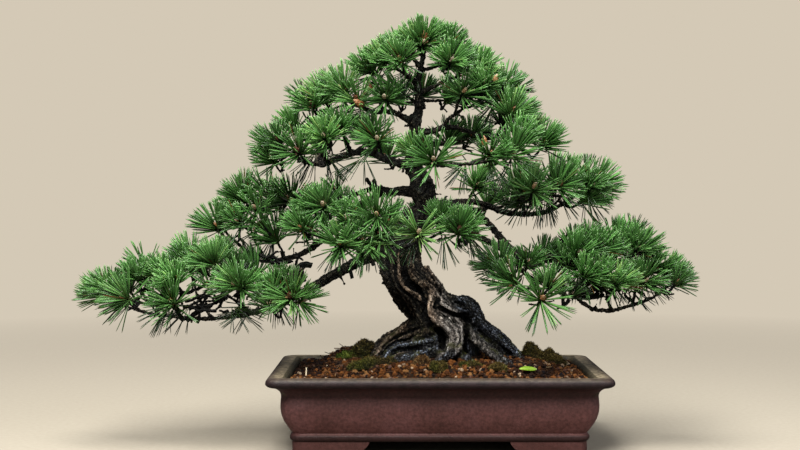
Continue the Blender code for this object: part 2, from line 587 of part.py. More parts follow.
def make_limb(line, sides, gap):
    """A tapering tube along a line of points, closed at both ends, and fatter by the gap all round."""
    points = [(Vector(row[:3]), row[3]) for row in line]
    bm = bmesh.new()
    rings = []
    across = None
    last = len(points) - 1
    for i, (centre, radius) in enumerate(points):
        way = (points[min(i + 1, last)][0] - points[max(i - 1, 0)][0]).normalized()
        if across is None:
            across = way.orthogonal().normalized()
        across = (across - way * across.dot(way)).normalized()
        other = way.cross(across)
        if i == 0:
            centre = centre - way * gap
        if i == last:
            centre = centre + way * gap
        ring = []
        for side in range(sides):
            turn = 2 * math.pi * side / sides
            reach = radius + gap
            ring.append(centre + reach * (across * math.cos(turn) + other * math.sin(turn)))
        rings.append(ring)
    loft(bm, rings)
    return finish_mesh("limb", bm)


def join_limbs(name, gap, material=None):
    """The trunk, roots and branches as the one growth that they are."""
    limbs = [make_limb(line, TRUNK_SIDES, gap) for line in TRUNK + ROOTS]
    limbs += [make_limb(line, BRANCH_SIDES, gap) for line in BRANCHES]
    wood = limbs[0]
    wood.name = name
    if material:
        wood.data.materials.append(material)
    for limb in limbs[1:]:
        boolean(wood, limb, "UNION", "MANIFOLD")
    return wood


def make_pad(name, tufts, needles):
    """The rounded mass of one branchlet's needles."""
    bm = bmesh.new()
    for tuft in tufts:
        ball = bmesh.ops.create_icosphere(bm, subdivisions=2, radius=1.0)
        bmesh.ops.scale(bm, vec=TUFT_RADIUS, verts=ball["verts"])
        bmesh.ops.translate(bm, vec=tuft, verts=ball["verts"])
    return finish_mesh(name, bm, needles)


def make_foliage(needles, wood_space):
    """Every pad, each kept clear of the pads beside it and of the wood that it grows on."""
    pads = []
    for name, tufts in FOLIAGE.items():
        pad = make_pad(name, tufts, needles)
        voxel_join(pad, PAD_VOXEL)
        decimate(pad, PAD_TRIANGLES)
        for neighbour in pads:
            if boxes_meet(pad, neighbour):
                boolean(pad, grown(neighbour, PAD_GAP), "DIFFERENCE", "MANIFOLD")
        keep_largest(pad)
        pads.append(pad)
    for pad in pads:
        boolean(pad, copy_of(wood_space, "wood_space"), "DIFFERENCE", "MANIFOLD")
        keep_largest(pad)
    return pads


def boxes_meet(first, second):
    for axis in range(3):
        a = [vert.co[axis] for vert in first.data.vertices]
        b = [vert.co[axis] for vert in second.data.vertices]
        if min(a) > max(b) + PAD_GAP * 2 * MM or min(b) > max(a) + PAD_GAP * 2 * MM:
            return False
    return True


# ---------------------------------------------------------------- putting it together


def centre_on_origin(pieces):
    """Slides every piece so that the box around them all is centred over the origin."""
    low = Vector((min(v.co[i] for p in pieces for v in p.data.vertices) for i in range(3)))
    high = Vector((max(v.co[i] for p in pieces for v in p.data.vertices) for i in range(3)))
    shift = Vector((-(low.x + high.x) / 2, -(low.y + high.y) / 2, 0.0))
    for piece in pieces:
        for vert in piece.data.vertices:
            vert.co += shift


def main():
    clear_scene()
    random.seed(SEED)
    clay = make_material("unglazed_clay", (0.083, 0.037, 0.034), 0.62)
    earth = make_material("akadama_soil", (0.18, 0.075, 0.03), 0.95)
    bark = make_material("bark", (0.035, 0.028, 0.022), 0.85)
    needles = make_material("pine_needles", (0.03, 0.11, 0.02), 0.55)
    moss_green = make_material("moss", (0.03, 0.045, 0.01), 0.95)
    leaf_green = make_material("green_leaf", (0.16, 0.28, 0.04), 0.5)
    plastic = make_material("black_plastic", (0.02, 0.02, 0.02), 0.6)

    wood = join_limbs("trunk_roots_and_branches", 0.0, bark)
    space = join_limbs("wood_space", WOOD_GAP)
    space.hide_render = True
    soil = make_soil(earth, space)
    pieces = [wood, make_pot(clay), soil]
    pieces.append(make_screen("drain_screen_left", -DRAIN_X, plastic))
    pieces.append(make_screen("drain_screen_right", DRAIN_X, plastic))
    for name, row in MOSS.items():
        pieces.append(make_moss(name, *row, moss_green, soil, space))
    pieces.append(make_leaf(leaf_green, soil))
    pieces += make_foliage(needles, space)
    bpy.data.objects.remove(space, do_unlink=True)
    centre_on_origin(pieces)


main()
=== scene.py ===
"""Potted Japanese black pine, trained as an upright bonsai in an unglazed clay pot.

The sections follow the plant as it is put together: the studio, the pot, the drain netting, the
soil and its grains, the wood, the moss and the litter, the leaf, the shoots with their twigs, the
needles and the buds. Lengths are in millimetres from the middle of the pot, unless a line says so.
"""

import math

import bpy
import numpy as np
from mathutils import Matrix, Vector, noise
from mathutils.bvhtree import BVHTree


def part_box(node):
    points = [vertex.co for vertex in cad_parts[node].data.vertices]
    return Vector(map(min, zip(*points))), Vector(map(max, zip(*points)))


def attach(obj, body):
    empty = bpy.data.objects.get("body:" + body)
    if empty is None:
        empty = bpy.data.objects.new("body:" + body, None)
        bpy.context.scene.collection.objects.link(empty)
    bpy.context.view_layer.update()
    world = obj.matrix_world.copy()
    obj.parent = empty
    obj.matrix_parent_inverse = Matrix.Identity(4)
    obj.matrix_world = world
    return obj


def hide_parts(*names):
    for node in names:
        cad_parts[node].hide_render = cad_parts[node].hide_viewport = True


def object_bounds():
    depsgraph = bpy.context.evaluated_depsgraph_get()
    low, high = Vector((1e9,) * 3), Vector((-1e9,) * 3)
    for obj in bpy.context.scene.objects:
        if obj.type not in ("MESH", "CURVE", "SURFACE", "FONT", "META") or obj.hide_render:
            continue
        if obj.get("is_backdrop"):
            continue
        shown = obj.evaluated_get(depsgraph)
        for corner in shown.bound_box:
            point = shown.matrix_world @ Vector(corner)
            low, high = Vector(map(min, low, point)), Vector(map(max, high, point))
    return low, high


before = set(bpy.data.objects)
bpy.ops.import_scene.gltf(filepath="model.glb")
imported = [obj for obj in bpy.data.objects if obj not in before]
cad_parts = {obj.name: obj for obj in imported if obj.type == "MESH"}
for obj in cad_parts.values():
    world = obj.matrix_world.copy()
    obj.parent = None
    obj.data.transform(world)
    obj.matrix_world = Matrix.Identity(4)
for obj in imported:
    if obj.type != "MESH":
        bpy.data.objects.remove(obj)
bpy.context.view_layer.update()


# ------------------------------------------------------------------------------------------------
# The studio: a pale floor that fades into a warm paper backdrop, one broad soft lamp overhead, a
# weaker one in front and a faint cool one from the right. Nothing here belongs to the plant.

MM = 0.001
FLOOR_RADIUS = 2.2  # in metres
FLOOR_SIDES = 96
BACKDROP = (0.658, 0.584, 0.468, 1.0)  # what is seen behind the plant
AMBIENT = (0.22, 0.225, 0.235, 1.0)  # the light from all round
SKY_SHINE = (0.05, 0.06, 0.075, 1.0)  # what shiny skins mirror
# (place, width in metres, watts, colour)
LAMPS = {"lamp_above": ((-350, -460, 2300), 1.3, 90.0, (1.0, 0.99, 0.96)),
         "lamp_front": ((-550, -1700, 1950), 0.9, 58.0, (1.0, 0.985, 0.95)),
         "lamp_right": ((1500, -900, 1300), 1.0, 17.0, (0.93, 0.96, 1.0))}
LIT_PLACE = (0, 0, 220)  # what the lamps point at
EYE = (-42, -1622, 268)
EYE_DOWN = 0.987  # how far the camera looks down, in degrees
LENS = 65.3
pot_low, pot_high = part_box("pot")
pot_x = (pot_low.x + pot_high.x) / 2
pot_y = (pot_low.y + pot_high.y) / 2


def at(x, y, z):
    """The place this many millimetres from the middle of the pot's footprint."""
    return Vector((pot_x + x * MM, pot_y + y * MM, z * MM))


def feed(tree, node, **inputs):
    """Fills a node's named or numbered inputs with values or links."""
    for key, value in inputs.items():
        socket = node.inputs[int(key[1:])] if key[1:].isdigit() else node.inputs[key.replace("_", " ")]
        if isinstance(value, bpy.types.NodeSocket):
            tree.links.new(value, socket)
        else:
            socket.default_value = value


def put(tree, kind, settings=None, **inputs):
    """Adds a node, sets its choices, and fills its inputs."""
    made = tree.nodes.new("ShaderNode" + kind)
    for key, value in (settings or {}).items():
        setattr(made, key, value)
    feed(tree, made, **inputs)
    return made


def ramp(tree, factor, stops):
    """A colour ramp with stops of (place, (red, green, blue))."""
    made = put(tree, "ValToRGB", Fac=factor)
    elements = made.color_ramp.elements
    while len(elements) < len(stops):
        elements.new(0.5)
    for element, (place, colour) in zip(elements, stops):
        element.position = place
        element.color = (*colour, 1.0)
    return made.outputs["Color"]


def blend(tree, factor, first, second, way="MIX"):
    """Mixes two colours by a factor."""
    made = put(tree, "Mix", {"data_type": "RGBA", "blend_type": way}, i0=factor, i6=first, i7=second)
    return made.outputs[2]


def number(tree, way, first, second, clamp=False):
    """A sum, product, power and the like of two numbers."""
    made = put(tree, "Math", {"operation": way, "use_clamp": clamp}, i0=first, i1=second)
    return made.outputs[0]


def between(tree, value, low, high, to_low=0.0, to_high=1.0):
    """Maps a number from one span to another, held at both ends."""
    made = put(tree, "MapRange", Value=value, From_Min=low, From_Max=high, To_Min=to_low, To_Max=to_high)
    return made.outputs["Result"]


def distance_from(tree, spot):
    """How far each place on the surface is from this one, in metres."""
    place = put(tree, "TexCoord").outputs["Object"]
    return put(tree, "VectorMath", {"operation": "DISTANCE"}, i0=place, i1=spot).outputs["Value"]


def emptied(data):
    """The node tree of a material or world, with nothing in it yet."""
    data.use_nodes = True
    data.node_tree.nodes.clear()
    return data.node_tree


bpy.ops.object.select_all(action="DESELECT")
bpy.ops.mesh.primitive_circle_add(vertices=FLOOR_SIDES, radius=FLOOR_RADIUS, fill_type="NGON",
                                  location=at(0, 0, 0))
floor = bpy.context.object
floor.name = "floor"
bpy.ops.object.transform_apply()
floor_paint = bpy.data.materials.new("pale_floor")
tree = emptied(floor_paint)
fade = between(tree, distance_from(tree, at(0, 0, 0)), 0.45, 1.9)
place = put(tree, "TexCoord").outputs["Object"]
fine = put(tree, "TexNoise", Vector=place, Scale=160.0, Detail=4.0).outputs["Fac"]
tone = ramp(tree, fine, [(0.3, (0.34, 0.302, 0.243)), (0.7, (0.365, 0.327, 0.263))])
seen = put(tree, "LightPath").outputs["Is Camera Ray"]
matt = put(tree, "BsdfDiffuse", Color=blend(tree, seen, (0.15, 0.13, 0.11, 1.0), tone)).outputs[0]
clear = put(tree, "BsdfTransparent").outputs[0]
put(tree, "OutputMaterial", Surface=put(tree, "MixShader", i0=fade, i1=matt, i2=clear).outputs[0])
floor.data.materials.append(floor_paint)
floor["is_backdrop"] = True

world = bpy.data.worlds.new("studio")
bpy.context.scene.world = world
tree = emptied(world)
rays = put(tree, "LightPath").outputs
seen = number(tree, "MAXIMUM", rays["Is Camera Ray"], rays["Is Transmission Ray"])
sky = blend(tree, rays["Is Glossy Ray"], AMBIENT, SKY_SHINE)
sky = blend(tree, seen, sky, BACKDROP)
put(tree, "OutputWorld", Surface=put(tree, "Background", Color=sky, Strength=1.0).outputs[0])

for name, (place, size, watts, colour) in LAMPS.items():
    light = bpy.data.lights.new(name, "AREA")
    light.size = size
    light.energy = watts
    light.color = colour
    lamp = bpy.data.objects.new(name, light)
    bpy.context.scene.collection.objects.link(lamp)
    lamp.location = at(*place)
    lamp.rotation_euler = (at(*LIT_PLACE) - lamp.location).to_track_quat("-Z", "Y").to_euler()

camera = bpy.data.objects.new("camera", bpy.data.cameras.new("camera"))
bpy.context.scene.collection.objects.link(camera)
camera.location = at(*EYE)
camera.rotation_euler = (math.radians(90.0 - EYE_DOWN), 0.0, 0.0)
camera.data.sensor_width = 36.0
camera.data.lens = LENS
camera.data.clip_start = 0.05
camera.data.clip_end = 50.0
bpy.context.scene.camera = camera
bpy.context.scene.view_settings.view_transform = "Standard"


# ------------------------------------------------------------------------------------------------
# The pot: a slab-built rectangle of purple-brown stoneware, fired without glaze. It has a heavy
# flared lip, a gently bellied wall, a raised band at the bottom and four bracket feet.

DEPTH_LESS = 57.0  # how much nearer the middle the front wall is than the end wall
# Rows of (half length, height), from the bottom up
POT_BAND = [(155.4, 13.4), (157.2, 14.1), (158.4, 15.9), (158.7, 17.9), (158.2, 19.9), (156.6, 21.3)]
POT_WALL = [(156.2, 22.2), (158.0, 24.6), (160.6, 28.6), (164.6, 35.6), (167.2, 43.5), (168.0, 50.5),
            (167.7, 57.5), (167.4, 62.2), (168.4, 66.0), (171.4, 69.3), (175.7, 71.6)]
POT_LIP = [(176.8, 71.8), (180.0, 72.6), (182.4, 74.6), (182.8, 77.0), (182.0, 79.6), (180.2, 81.2),
           (178.2, 81.8)]
POT_CAVITY = [(147.8, 25.0), (152.3, 28.0), (156.5, 36.0), (160.1, 51.0), (159.7, 64.0),
              (160.7, 75.0), (161.9, 79.0), (163.3, 80.7), (165.2, 81.5), (167.5, 81.9), (168.0, 90.0)]
FEET = [(155.3, 0.0), (156.1, 0.8), (156.4, 16.5)]
FOOT_HOLLOW = [(141.4, -5.0), (141.4, 24.0)]
FOOT_ARCH = [(88.0, -5.0), (88.0, 0.0), (83.0, 3.0), (78.5, 6.5), (75.8, 9.5), (74.4, 12.0), (74.0, 19.0)]
FRONT_ARCH_LESS = -90.0  # deeper than the pot, so that the arch cuts right through
SIDE_ARCH_LESS = 32.0  # the arch at the side is narrower than the front one by this on each side
SIDE_ARCH_LENGTH = 115.0  # and longer than wide by this, so that it cuts right through too
DRAIN_SIDES = (-80, 80)
DRAIN_RADIUS = 12
DRAIN_MIDDLE, DRAIN_LONG = 22, 40  # the height of the drill's middle and its length
INNER_EDGE = (0.1655, 0.1085)  # where the cavity ends along and across, in metres


def smooth_skin(obj, angle):
    """Fixes a piece where it is, points its faces outwards and smooths its shallow edges."""
    bpy.ops.object.select_all(action="DESELECT")
    obj.select_set(True)
    bpy.context.view_layer.objects.active = obj
    bpy.ops.object.transform_apply()
    bpy.ops.object.mode_set(mode="EDIT")
    bpy.ops.mesh.select_all(action="SELECT")
    bpy.ops.mesh.normals_make_consistent(inside=False)
    bpy.ops.object.mode_set(mode="OBJECT")
    bpy.ops.object.shade_smooth_by_angle(angle=math.radians(angle))


def stacked(name, rows, corner=0.0, segments=0, less=DEPTH_LESS):
    """A rectangle, rounded at its corners or not, drawn at the first row and drawn up through the
    others. A row is (half length, height), and the half depth is always less by the same."""
    bpy.ops.object.select_all(action="DESELECT")
    bpy.ops.mesh.primitive_plane_add(size=2.0, location=at(0, 0, rows[0][1]))
    obj = bpy.context.object
    obj.name = name
    half = rows[0][0]
    bpy.ops.transform.resize(value=(half * MM, (half - less) * MM, 1.0))
    bpy.ops.object.transform_apply()
    bpy.ops.object.mode_set(mode="EDIT")
    bpy.ops.mesh.select_all(action="SELECT")
    if corner:
        bpy.ops.mesh.bevel(offset=corner * MM, segments=segments, affect="VERTICES")
        bpy.ops.mesh.select_all(action="SELECT")
    for (last, low), (now, high) in zip(rows, rows[1:]):
        bpy.ops.mesh.extrude_region_move(TRANSFORM_OT_translate={"value": (0, 0, (high - low) * MM)})
        wider = (now / last, (now - less) / (last - less), 1.0)
        bpy.ops.transform.resize(value=wider, center_override=at(0, 0, high))
    bpy.ops.mesh.select_all(action="SELECT")
    bpy.ops.mesh.normals_make_consistent(inside=False)
    bpy.ops.object.mode_set(mode="OBJECT")
    return obj


def modifier(obj, kind, **settings):
    """Adds a modifier with its settings and applies it."""
    bpy.ops.object.select_all(action="DESELECT")
    bpy.context.view_layer.objects.active = obj
    obj.select_set(True)
    step = obj.modifiers.new(kind.title(), kind)
    for key, value in settings.items():
        setattr(step, key, value)
    bpy.ops.object.modifier_apply(modifier=step.name)


def boolean(obj, other, operation):
    """Joins or cuts with another solid, which is then removed."""
    modifier(obj, "BOOLEAN", operation=operation, solver="EXACT", object=other)
    bpy.data.objects.remove(other, do_unlink=True)


def eased(rows, steps):
    """Puts more rows between the given ones, on a smooth curve through them."""
    points = [Vector((half, height)) for half, height in rows]
    points = [points[0] * 2 - points[1], *points, points[-1] * 2 - points[-2]]
    curve = []
    for a, b, c, d in zip(points, points[1:], points[2:], points[3:]):
        for step in range(steps):
            t = step / steps
            way = (c - a) * t + (2 * a - 5 * b + 4 * c - d) * t * t + (3 * b - a - 3 * c + d) * t**3
            curve.append(tuple(b + way * 0.5))
    curve.append(tuple(points[-2]))
    return curve


outside = eased(POT_BAND, 2) + eased(POT_WALL, 3) + eased(POT_LIP, 3)
pot = stacked("clay_pot", outside, corner=12.5, segments=10)
boolean(pot, stacked("cavity", POT_CAVITY, corner=6.5, segments=6), "DIFFERENCE")
feet = stacked("feet", FEET, corner=12.0, segments=8)
boolean(feet, stacked("foot_hollow", FOOT_HOLLOW, corner=6.0, segments=4), "DIFFERENCE")
boolean(feet, stacked("front_arch", FOOT_ARCH, less=FRONT_ARCH_LESS), "DIFFERENCE")
side_arch = [(half - SIDE_ARCH_LESS + SIDE_ARCH_LENGTH, height) for half, height in FOOT_ARCH]
boolean(feet, stacked("side_arch", side_arch, less=SIDE_ARCH_LENGTH), "DIFFERENCE")
boolean(pot, feet, "UNION")
for side in DRAIN_SIDES:
    bpy.ops.mesh.primitive_cylinder_add(vertices=40, radius=DRAIN_RADIUS * MM, depth=DRAIN_LONG * MM,
                                        location=at(side, 0, DRAIN_MIDDLE))
    boolean(pot, bpy.context.object, "DIFFERENCE")
smooth_skin(pot, 38)


def effect(name, inputs, output):
    """An empty shader node group that several materials share, with its inputs and its output."""
    made = bpy.data.node_groups.new(name, "ShaderNodeTree")
    for key in inputs:
        made.interface.new_socket(key, in_out="INPUT", socket_type="NodeSocketFloat")
    made.interface.new_socket(output, in_out="OUTPUT", socket_type="NodeSocketFloat")
    return made, made.nodes.new("NodeGroupInput").outputs, made.nodes.new("NodeGroupOutput").inputs[0]


# Soft patches
patches, given, result = effect("patches", ("Scale", "Contrast"), "Mask")
place = put(patches, "TexCoord").outputs["Object"]
cloud = put(patches, "TexNoise", Vector=place, Scale=given["Scale"], Detail=5.0, Roughness=0.55)
centred = number(patches, "SUBTRACT", cloud.outputs["Fac"], 0.5)
spread = number(patches, "MULTIPLY", centred, given["Contrast"])
patches.links.new(number(patches, "ADD", spread, 0.5, clamp=True), result)

# Small pits between grains
pits, given, result = effect("pits", ("Scale",), "Height")
place = put(pits, "TexCoord").outputs["Object"]
grain = put(pits, "TexVoronoi", Vector=place, Scale=given["Scale"]).outputs["Distance"]
finer = number(pits, "MULTIPLY", given["Scale"], 0.45)
lumps = put(pits, "TexNoise", Vector=place, Scale=finer, Detail=6.0, Roughness=0.7).outputs["Fac"]
pits.links.new(number(pits, "ADD", number(pits, "MULTIPLY", grain, 0.5), lumps), result)


def patch(tree, scale, contrast):
    """Soft random patches, this many to a metre, as a mask."""
    return put(tree, "Group", {"node_tree": patches}, Scale=scale, Contrast=contrast).outputs["Mask"]


def varied(tree, scale, contrast, low, high):
    """Soft random patches that run from one number to another."""
    return between(tree, patch(tree, scale, contrast), 0.0, 1.0, low, high)


def pitted(tree, scale, strength, depth):
    """A bumpy normal with grains this many to a metre and this deep."""
    made = put(tree, "Group", {"node_tree": pits}, Scale=scale).outputs["Height"]
    return put(tree, "Bump", Strength=strength, Distance=depth, Height=made).outputs["Normal"]


def axis_of(tree, vector, axis):
    """One axis of a vector."""
    return put(tree, "SeparateXYZ", i0=vector).outputs[axis]


def place_along(tree, axis):
    """How far along an axis each place on the surface is, in metres."""
    return axis_of(tree, put(tree, "TexCoord").outputs["Object"], axis)


def facing_up(tree):
    """1 where the skin faces up, 0 where it stands upright and -1 where it faces down."""
    return axis_of(tree, put(tree, "NewGeometry").outputs["Normal"], "Z")


def product(tree, first, *others):
    """Several numbers multiplied together."""
    for other in others:
        first = number(tree, "MULTIPLY", first, other)
    return first


def shaded(tree, colour, share):
    """A colour made darker or lighter by a number that varies over the surface."""
    return blend(tree, 1.0, colour, put(tree, "CombineXYZ", X=share, Y=share, Z=share).outputs[0], "MULTIPLY")


def new_material(name):
    """A new material, with its Principled shader ready to be fed."""
    made = bpy.data.materials.new(name)
    made.use_nodes = True
    return made, made.node_tree, made.node_tree.nodes["Principled BSDF"]


def settle(obj, material, slot, *nodes):
    """Gives a finished piece its material and its place in the frame. The slot is not used."""
    obj.data.materials.append(material)
    if nodes:
        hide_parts(*nodes)
    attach(obj, "root")


clay, tree, shader = new_material("unglazed_clay")
height = place_along(tree, "Z")
body = ramp(tree, patch(tree, 26.0, 2.2), [(0.0, (0.112, 0.043, 0.037)), (0.55, (0.160, 0.063, 0.057)),
                                           (1.0, (0.205, 0.087, 0.084))])
# Painted shade: the clay is lightest low on the belly and darkens up the wall to a quarter under the lip
painted_shade_by_height = ramp(tree, between(tree, height, 0.020, 0.070),
              [(0.0, (0.86, 0.86, 0.84)), (0.16, (1.0, 1.0, 1.0)), (0.32, (0.88, 0.88, 0.88)),
               (0.5, (0.71, 0.71, 0.71)), (0.66, (0.575, 0.575, 0.58)), (0.8, (0.46, 0.46, 0.46)),
               (0.92, (0.30, 0.27, 0.27)), (1.0, (0.25, 0.21, 0.21))])
body = blend(tree, 1.0, body, painted_shade_by_height, "MULTIPLY")
body = shaded(tree, body, varied(tree, 300.0, 3.0, 0.72, 1.3))
# The fire left the foot of the pot redder
fire = between(tree, number(tree, "ADD", height, number(tree, "MULTIPLY", patch(tree, 60.0, 1.0), 0.012)),
               0.036, 0.006)
body = blend(tree, product(tree, fire, 0.6), body, (0.110, 0.036, 0.026, 1.0))
# Painted shade: from the groove over the band down, the clay is darkened to a quarter, and below the band's
# lower edge to 0.7 of its colour
painted_shade_low = product(tree, between(tree, height, 0.0225, 0.0190, 1.0, 0.25),
                 between(tree, height, 0.0138, 0.0128, 1.0, 2.8))
body = shaded(tree, body, painted_shade_low)
speck = number(tree, "GREATER_THAN", patch(tree, 620.0, 1.6), 0.86)
body = blend(tree, product(tree, speck, 0.45), body, (0.20, 0.15, 0.12, 1.0))
# The lip, from 73.5 mm up, is much darker and redder than the body: the clay's own colour there, and painted
# shade on its front face
on_lip = between(tree, height, 0.0705, 0.0735)
body = blend(tree, on_lip, body, ramp(tree, patch(tree, 110.0, 3.0), [(0.1, (0.0100, 0.0044, 0.0048)),
                                                                      (0.9, (0.0250, 0.0122, 0.0128))]))
speck = product(tree, number(tree, "GREATER_THAN", patch(tree, 900.0, 2.4), 0.9), 0.35)
body = blend(tree, speck, body, (0.16, 0.13, 0.11, 1.0))
# Pale dust on top of the lip, thinner at its front edge and its ends
from_middle = put(tree, "VectorMath", {"operation": "SUBTRACT"}, i0=put(tree, "TexCoord").outputs["Object"],
                  i1=at(0, 0, 0)).outputs[0]
from_middle = put(tree, "VectorMath", {"operation": "ABSOLUTE"}, i0=from_middle).outputs[0]
lengthways, crossways = (axis_of(tree, from_middle, axis) for axis in "XY")
dust = product(tree, between(tree, facing_up(tree), 0.35, 0.9), on_lip,
               between(tree, place_along(tree, "Y"), pot_low.y + 0.010, pot_low.y + 0.024, 0.25, 1.0),
               varied(tree, 45.0, 2.0, 0.8, 1.0), between(tree, lengthways, 0.172, 0.179, 1.0, 0.25))
body = blend(tree, dust, body, ramp(tree, patch(tree, 200.0, 5.0), [(0.1, (0.105, 0.082, 0.050)),
                                                                    (0.9, (0.255, 0.205, 0.132))]))
# Dried mud inside, above the soil
inside = product(tree, number(tree, "LESS_THAN", lengthways, INNER_EDGE[0]),
                 number(tree, "LESS_THAN", crossways, INNER_EDGE[1]),
                 between(tree, height, 0.060, 0.066), varied(tree, 60.0, 2.0, 0.75, 1.0))
body = blend(tree, inside, body, ramp(tree, patch(tree, 160.0, 3.0), [(0.2, (0.020, 0.016, 0.008)),
                                                                      (0.9, (0.075, 0.060, 0.030))]))
feed(tree, shader, Base_Color=body, Specular_IOR_Level=0.3, Normal=pitted(tree, 900.0, 0.5, 0.0006),
     Roughness=varied(tree, 90.0, 2.0, 0.46, 0.66))
settle(pot, clay, "clay", "pot")


# ------------------------------------------------------------------------------------------------
# The drain netting: two squares of black plastic mesh that lie over the holes in the pot's floor.
# They keep the shape that the frame gives them and get a plain moulded plastic.

netting, tree, shader = new_material("black_netting")
feed(tree, shader, Normal=pitted(tree, 1500.0, 0.3, 0.0002), Roughness=varied(tree, 300.0, 2.0, 0.45, 0.65),
     Base_Color=ramp(tree, patch(tree, 400.0, 2.0), [(0.0, (0.012, 0.012, 0.012)),
                                                     (1.0, (0.030, 0.029, 0.027))]))
for name in ("drain_screen_left", "drain_screen_right"):
    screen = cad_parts[name]
    screen.data.materials.clear()
    screen.data.materials.append(netting)


# ------------------------------------------------------------------------------------------------
# The soil bed: dark, damp fine soil that fills the pot and mounds up round the roots. Its top is
# broken up by small lumps, and the loose grains of the next section lie on it.

SOIL_TOP = 0.076  # in metres: whatever faces up above this is open soil
SOIL_LUMP = 1.1  # how high the lumps are
HEAP = 9.0  # how high a heap lies to the left of the trunk
HEAP_MIDDLE = (-100, 16, 0)
HEAP_REACH = 26.0
SOIL_KEPT = 0.34  # the share of the faces that stay


def merged_copy(name, node):
    """A copy of a frame piece's mesh with its loose triangles joined up, as its own object."""
    bpy.ops.object.select_all(action="DESELECT")
    made = bpy.data.objects.new(name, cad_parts[node].data.copy())
    made.data.name = name
    made.data.materials.clear()
    bpy.context.scene.collection.objects.link(made)
    made.select_set(True)
    bpy.context.view_layer.objects.active = made
    bpy.ops.mesh.customdata_custom_splitnormals_clear()
    bpy.ops.object.mode_set(mode="EDIT")
    bpy.ops.mesh.select_all(action="SELECT")
    bpy.ops.mesh.remove_doubles(threshold=1e-6)
    bpy.ops.object.mode_set(mode="OBJECT")
    return made


def surface_of(obj):
    """What rays are cast at, to find where a piece's surface is."""
    mesh = obj.data
    return BVHTree.FromPolygons([v.co for v in mesh.vertices], [p.vertices for p in mesh.polygons])


def skin_of(obj):
    """Where a mesh's points are and which way the skin faces at each, worked out from its faces."""
    mesh = obj.data
    places = np.empty(len(mesh.vertices) * 3, np.float32)
    mesh.vertices.foreach_get("co", places)
    places = places.reshape(-1, 3).astype(float)
    mesh.calc_loop_triangles()
    corners = np.empty(len(mesh.loop_triangles) * 3, np.int32)
    mesh.loop_triangles.foreach_get("vertices", corners)
    corners = corners.reshape(-1, 3)
    first, second, third = (places[corners[:, i]] for i in range(3))
    outward = np.cross(second - first, third - first)
    facing = np.zeros_like(places)
    for i in range(3):
        np.add.at(facing, corners[:, i], outward)
    return places, facing / np.maximum(np.linalg.norm(facing, axis=1), 1e-30)[:, None]


def set_skin(obj, places):
    """Moves a mesh's points to these places."""
    obj.data.vertices.foreach_set("co", places.astype(np.float32).ravel())
    obj.data.update()


def lumpy(points, size):
    """Smooth noise at each point, with lumps this many millimetres across."""
    return np.array([noise.noise(Vector(point) / (size * MM)) for point in points])


bed = merged_copy("soil_bed", "soil")
modifier(bed, "SUBSURF", subdivision_type="SIMPLE", levels=3, render_levels=3)
places, facing = skin_of(bed)
on_top = (places[:, 2] > SOIL_TOP) & (facing[:, 2] > 0.5)
rough = lumpy(places[on_top], 4.0) + 0.6 * lumpy(places[on_top], 1.8) - 0.9
places[on_top, 2] += SOIL_LUMP * MM * rough
heap = at(*HEAP_MIDDLE)
reach = np.hypot(places[:, 0] - heap.x, (places[:, 1] - heap.y) / 1.3) / MM
places[on_top, 2] += HEAP * MM * np.exp(-((reach[on_top] / HEAP_REACH) ** 2))
set_skin(bed, places)
modifier(bed, "DECIMATE", ratio=SOIL_KEPT)
smooth_skin(bed, 60)
damp_soil, tree, shader = new_material("damp_soil")
earth = ramp(tree, patch(tree, 300.0, 3.0), [(0.0, (0.008, 0.005, 0.003)), (0.6, (0.022, 0.012, 0.006)),
                                             (1.0, (0.055, 0.028, 0.013))])
feed(tree, shader, Specular_IOR_Level=0.12, Base_Color=earth, Roughness=varied(tree, 500.0, 2.0, 0.75, 0.98),
     Normal=pitted(tree, 700.0, 0.9, 0.0012))
settle(bed, damp_soil, "soil", "soil")
bed_surface = surface_of(bed)


# ------------------------------------------------------------------------------------------------
# The loose grains: fired akadama clay, orange-brown and crumbly, with some dark lava and a little
# pale pumice. Each grain is one of a few rough stones, turned its own way and sunk in the bed.

GRAINS = 6200
GRAIN_RADIUS = (1.4, 2.9)
LARGER = 1.35  # now and then a grain is larger by this
STONES = 6
INNER_X, INNER_Y = 159.4, 102.4  # half the room inside the pot
RAY_START = 0.13  # the rays that feel for the ground start at this height, in metres
BURIED = 0.05  # and here, out of sight, lie the few grains that fall under wood or moss


def pattern_of(obj):
    """The points and triangles of something that is modelled once and laid out many times."""
    obj.data.calc_loop_triangles()
    points = np.array([v.co for v in obj.data.vertices])
    corners = np.array([t.vertices for t in obj.data.loop_triangles])
    bpy.data.objects.remove(obj, do_unlink=True)
    return points, corners


def add_layer(obj, name, values):
    """Keeps a number for each of a mesh's points, for its material to read."""
    layer = obj.data.attributes.new(name, "FLOAT", "POINT")
    layer.data.foreach_set("value", np.asarray(values, np.float32))


def attribute(tree, name):
    """The number that a mesh keeps for each of its points, in its material."""
    return put(tree, "Attribute", {"attribute_name": name}).outputs["Fac"]


